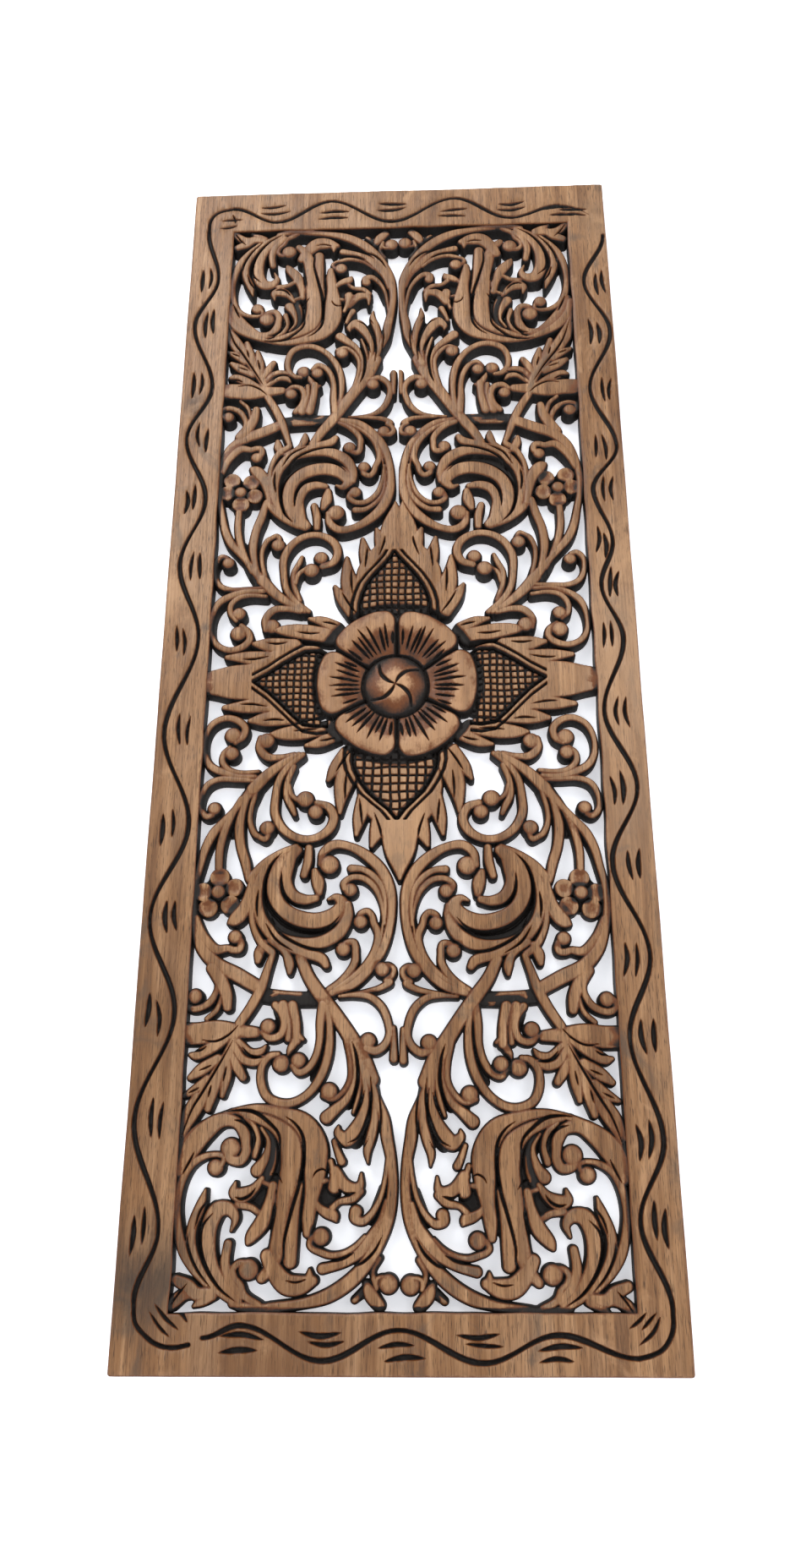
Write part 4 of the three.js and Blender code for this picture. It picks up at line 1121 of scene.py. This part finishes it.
def carved_teak():
    """Teak with a dark stain rubbed off the tops; the darkening in every cut, hollow and openwork wall is
    painted shade as well as stain.
    """
    n = Nodes("carved_teak")
    broad = n.noise(n.stretched((0.055, 0.055, 0.22)), detail=3, warp=0.6)
    bands = n.noise(n.stretched((0.0075, 0.02, 0.16), (3, 1, 2)), detail=5, rough=0.6, warp=0.5)
    streaks = n.noise(n.stretched((0.0013, 0.004, 0.05), (7, 2, 5)), detail=4, rough=0.65)
    pores = n.noise(n.stretched((0.00045, 0.002, 0.0085), (1, 4, 9)), detail=2, rough=0.5)
    cloud = n.noise(n.stretched((0.03, 0.03, 0.045), (11, 3, 8)), detail=5, rough=0.6, warp=0.8)
    speck = n.noise(n.stretched((0.0016, 0.0016, 0.0022)), detail=3)

    wood = n.ramp(bands, (0.30, (0.105, 0.044, 0.016)), (0.48, (0.215, 0.104, 0.042)),
                  (0.62, (0.30, 0.160, 0.073)), (0.76, (0.43, 0.255, 0.135)))
    wood = n.mix(n.range(broad, 0.42, 0.72, 0.0, 0.75), wood, (0.33, 0.195, 0.105))
    wood = n.mix(n.range(broad, 0.46, 0.26, 0.0, 0.5), wood, (0.125, 0.055, 0.020))
    wood = n.mix(n.range(streaks, 0.45, 0.70, 0.0, 0.65), wood, (0.085, 0.036, 0.014))
    wood = n.mix(n.range(pores, 0.58, 0.68, 0.0, 0.8), wood, (0.030, 0.014, 0.007))
    wood = n.mix(n.range(cloud, 0.56, 0.72, 0.0, 0.65), wood, (0.070, 0.050, 0.036))
    wood = n.mix(n.range(cloud, 0.42, 0.26, 0.0, 0.45), wood, (0.46, 0.27, 0.14))

    # spots of other colour; the light ones are painted light and sheen
    for x, z, radius, stretch, color, strength in PATCHES:
        share = n.math("MULTIPLY", n.spot(x, z, radius, stretch), n.range(cloud, 0.25, 0.6, 0.45, 1.0))
        wood = n.mix(n.math("MULTIPLY", share, strength), wood, color)

    # painted shade and stain: darker brown, then near black, the deeper a point lies under the wood round it
    depth = n.add("ShaderNodeAttribute", attribute_name="depth").outputs["Fac"]
    uneven = n.math("MULTIPLY", n.math("SUBTRACT", speck, 0.5), 0.10)
    stain_and_shade = n.math("ADD", depth, uneven)
    brown_stain_and_shade = n.range(stain_and_shade, 0.03, 0.12)
    black_stain_and_shade = n.range(stain_and_shade, 0.11, 0.25)
    wood = n.mix(brown_stain_and_shade, wood, (0.115, 0.034, 0.007))
    wood = n.mix(black_stain_and_shade, wood, (0.0065, 0.0042, 0.003))
    n.join(wood, n.shader.inputs["Base Color"])

    gloss = n.range(streaks, 0.3, 0.7, 0.36, 0.50)
    gloss = n.math("ADD", gloss, n.range(stain_and_shade, 0.1, 0.3, 0.0, 0.25), clamp=True)
    n.join(gloss, n.shader.inputs["Roughness"])
    n.shader.inputs["Specular IOR Level"].default_value = 0.3

    relief = n.math("ADD", n.math("MULTIPLY", streaks, 0.5), n.math("MULTIPLY", pores, -0.35))
    relief = n.math("ADD", relief, n.math("MULTIPLY", speck, 0.35))
    bump = n.add("ShaderNodeBump")
    bump.inputs["Strength"].default_value = 0.5
    bump.inputs["Distance"].default_value = 0.0006
    n.join(relief, bump.inputs["Height"])
    n.join(bump.outputs["Normal"], n.shader.inputs["Normal"])
    return n.material


def sawn_teak():
    """The plain, unpolished back of the board."""
    n = Nodes("sawn_teak")
    bands = n.noise(n.stretched((0.011, 0.02, 0.2), (5, 1, 3)), detail=5, rough=0.6, warp=0.6)
    streaks = n.noise(n.stretched((0.0014, 0.004, 0.05), (2, 2, 6)), detail=4, rough=0.65)
    marks = n.noise(n.stretched((0.09, 0.02, 0.0022), (9, 4, 1)), detail=2)
    wood = n.ramp(bands, (0.3, (0.16, 0.085, 0.045)), (0.7, (0.30, 0.18, 0.105)))
    wood = n.mix(n.range(streaks, 0.45, 0.75, 0.0, 0.4), wood, (0.10, 0.055, 0.03))
    wood = n.mix(n.range(marks, 0.5, 0.7, 0.0, 0.18), wood, (0.09, 0.05, 0.03))
    n.join(wood, n.shader.inputs["Base Color"])
    n.shader.inputs["Roughness"].default_value = 0.72
    bump = n.add("ShaderNodeBump")
    bump.inputs["Strength"].default_value = 0.4
    bump.inputs["Distance"].default_value = 0.0005
    n.join(n.math("ADD", streaks, marks), bump.inputs["Height"])
    n.join(bump.outputs["Normal"], n.shader.inputs["Normal"])
    return n.material


def plaster(name, one_sided):
    """Matt white; a one-sided sheet is clear from behind."""
    n = Nodes(name)
    n.shader.inputs["Base Color"].default_value = (0.93, 0.94, 0.97, 1)
    n.shader.inputs["Roughness"].default_value = 0.95
    n.shader.inputs["Specular IOR Level"].default_value = 0.1
    if one_sided:
        n.shader.inputs["Emission Color"].default_value = (0.93, 0.95, 1.0, 1)
        n.shader.inputs["Emission Strength"].default_value = 0.42
        clear = n.add("ShaderNodeBsdfTransparent").outputs[0]
        blend = n.add("ShaderNodeMixShader")
        n.join(n.add("ShaderNodeNewGeometry").outputs["Backfacing"], blend.inputs[0])
        n.join(n.shader.outputs[0], blend.inputs[1])
        n.join(clear, blend.inputs[2])
        n.join(blend.outputs[0], n.tree.nodes["Material Output"].inputs["Surface"])
    return n.material


# ---- the panel -----------------------------------------------------------------------------------

# Spots of other colour: x, y on the board in mm, radius, stretch along the grain, colour, strength. The dark
# ones are darker and greyer wood; the light ones over and below the flower, at the lower left and on the
# right rail are painted light and sheen.
PATCHES = [
    (20, 846, 46, 1.1, (0.030, 0.022, 0.017), 0.92),
    (12, 216, 15, 1.3, (0.028, 0.017, 0.012), 0.95),
    (334, 36, 20, 1.6, (0.16, 0.09, 0.045), 0.7),
    (330, 560, 22, 2.2, (0.09, 0.055, 0.035), 0.5),
    (100, 890, 110, 0.5, (0.125, 0.056, 0.022), 0.6),
    (20, 700, 60, 2.0, (0.13, 0.062, 0.026), 0.4),
    (170, 460, 92, 1.0, (0.50, 0.285, 0.150), 0.75),
    (170, 560, 60, 1.2, (0.44, 0.260, 0.140), 0.5),
    (120, 690, 90, 1.2, (0.36, 0.215, 0.120), 0.4),
    (330, 470, 90, 2.4, (0.40, 0.250, 0.150), 0.45),
]

fields = {"frame": (carve_frame(), 70000), "centre": (carve_centre(), 120000)}
for side in (1, -1):
    for level in (1, -1):
        name = f"openwork_{'upper' if level > 0 else 'lower'}_{'right' if side > 0 else 'left'}"
        fields[name] = (carve_quarter(side, level), 120000)
highest = np.maximum.reduce([np.where(f.inside > 0, f.height, NOWHERE) for f, _ in fields.values()])
around = spread(highest, SPREAD_CELLS)

teak, plain_teak = carved_teak(), sawn_teak()
for name, (field, target) in fields.items():
    dressed = piece(name, field, target, around)
    dressed.data.materials.append(teak)
    dressed.data.materials.append(plain_teak)
del fields

# ---- studio --------------------------------------------------------------------------------------


def sheet(name, points, material):
    mesh = bpy.data.meshes.new(name)
    mesh.from_pydata(points, [], [range(len(points))])
    mesh.materials.append(material)
    made = bpy.data.objects.new(name, mesh)
    bpy.context.scene.collection.objects.link(made)
    return made


WALL_GAP = 0.0015
FLOOR = -1.3
SIZE = 3.0
OUTLINE = ((-1, 0), (1, 0), (1, 1), (-1, 1))
sheet("wall", [(x * SIZE, WALL_GAP, SIZE if up else FLOOR) for x, up in OUTLINE], plaster("wall", True))
sheet("floor", [(x * SIZE, SIZE if up else -SIZE, FLOOR) for x, up in OUTLINE], plaster("floor", False))


def lamp(name, spot, target, width, power, color=(1, 1, 1)):
    light = bpy.data.lights.new(name, "AREA")
    light.shape = "SQUARE"
    light.size = width
    light.energy = power
    light.color = color
    made = bpy.data.objects.new(name, light)
    made.location = spot
    made.rotation_euler = (Vector(target) - Vector(spot)).to_track_quat("-Z", "Y").to_euler()
    bpy.context.scene.collection.objects.link(made)
    return made


lamp("window", (-0.9, -1.6, 1.7), (0, 0, 0), 1.6, 42)
lamp("fill", (1.6, -1.5, 0.2), (0, 0, 0), 1.6, 14)

world = bpy.data.worlds.new("studio")
world.use_nodes = True
world.node_tree.nodes["Background"].inputs["Color"].default_value = (1, 1, 1, 1)
world.node_tree.nodes["Background"].inputs["Strength"].default_value = 0.85
bpy.context.scene.world = world
bpy.context.scene.view_settings.view_transform = "Standard"

# ---- camera --------------------------------------------------------------------------------------

FORWARD = Vector((-0.03185, 0.93794, 0.34532))
RIGHT = Vector((0.99940, 0.03466, -0.00197))
DOWN = FORWARD.cross(RIGHT)

camera_data = bpy.data.cameras.new("camera")
camera_data.sensor_fit = "VERTICAL"
camera_data.sensor_height = 36
camera_data.lens = 27.14
camera = bpy.data.objects.new("camera", camera_data)
camera.matrix_world = Matrix.Translation((0.0288, -0.7622 - BOARD * MM, -0.3643)) @ Matrix(
    (RIGHT, -DOWN, -FORWARD)).transposed().to_4x4()
bpy.context.scene.collection.objects.link(camera)
bpy.context.scene.camera = camera
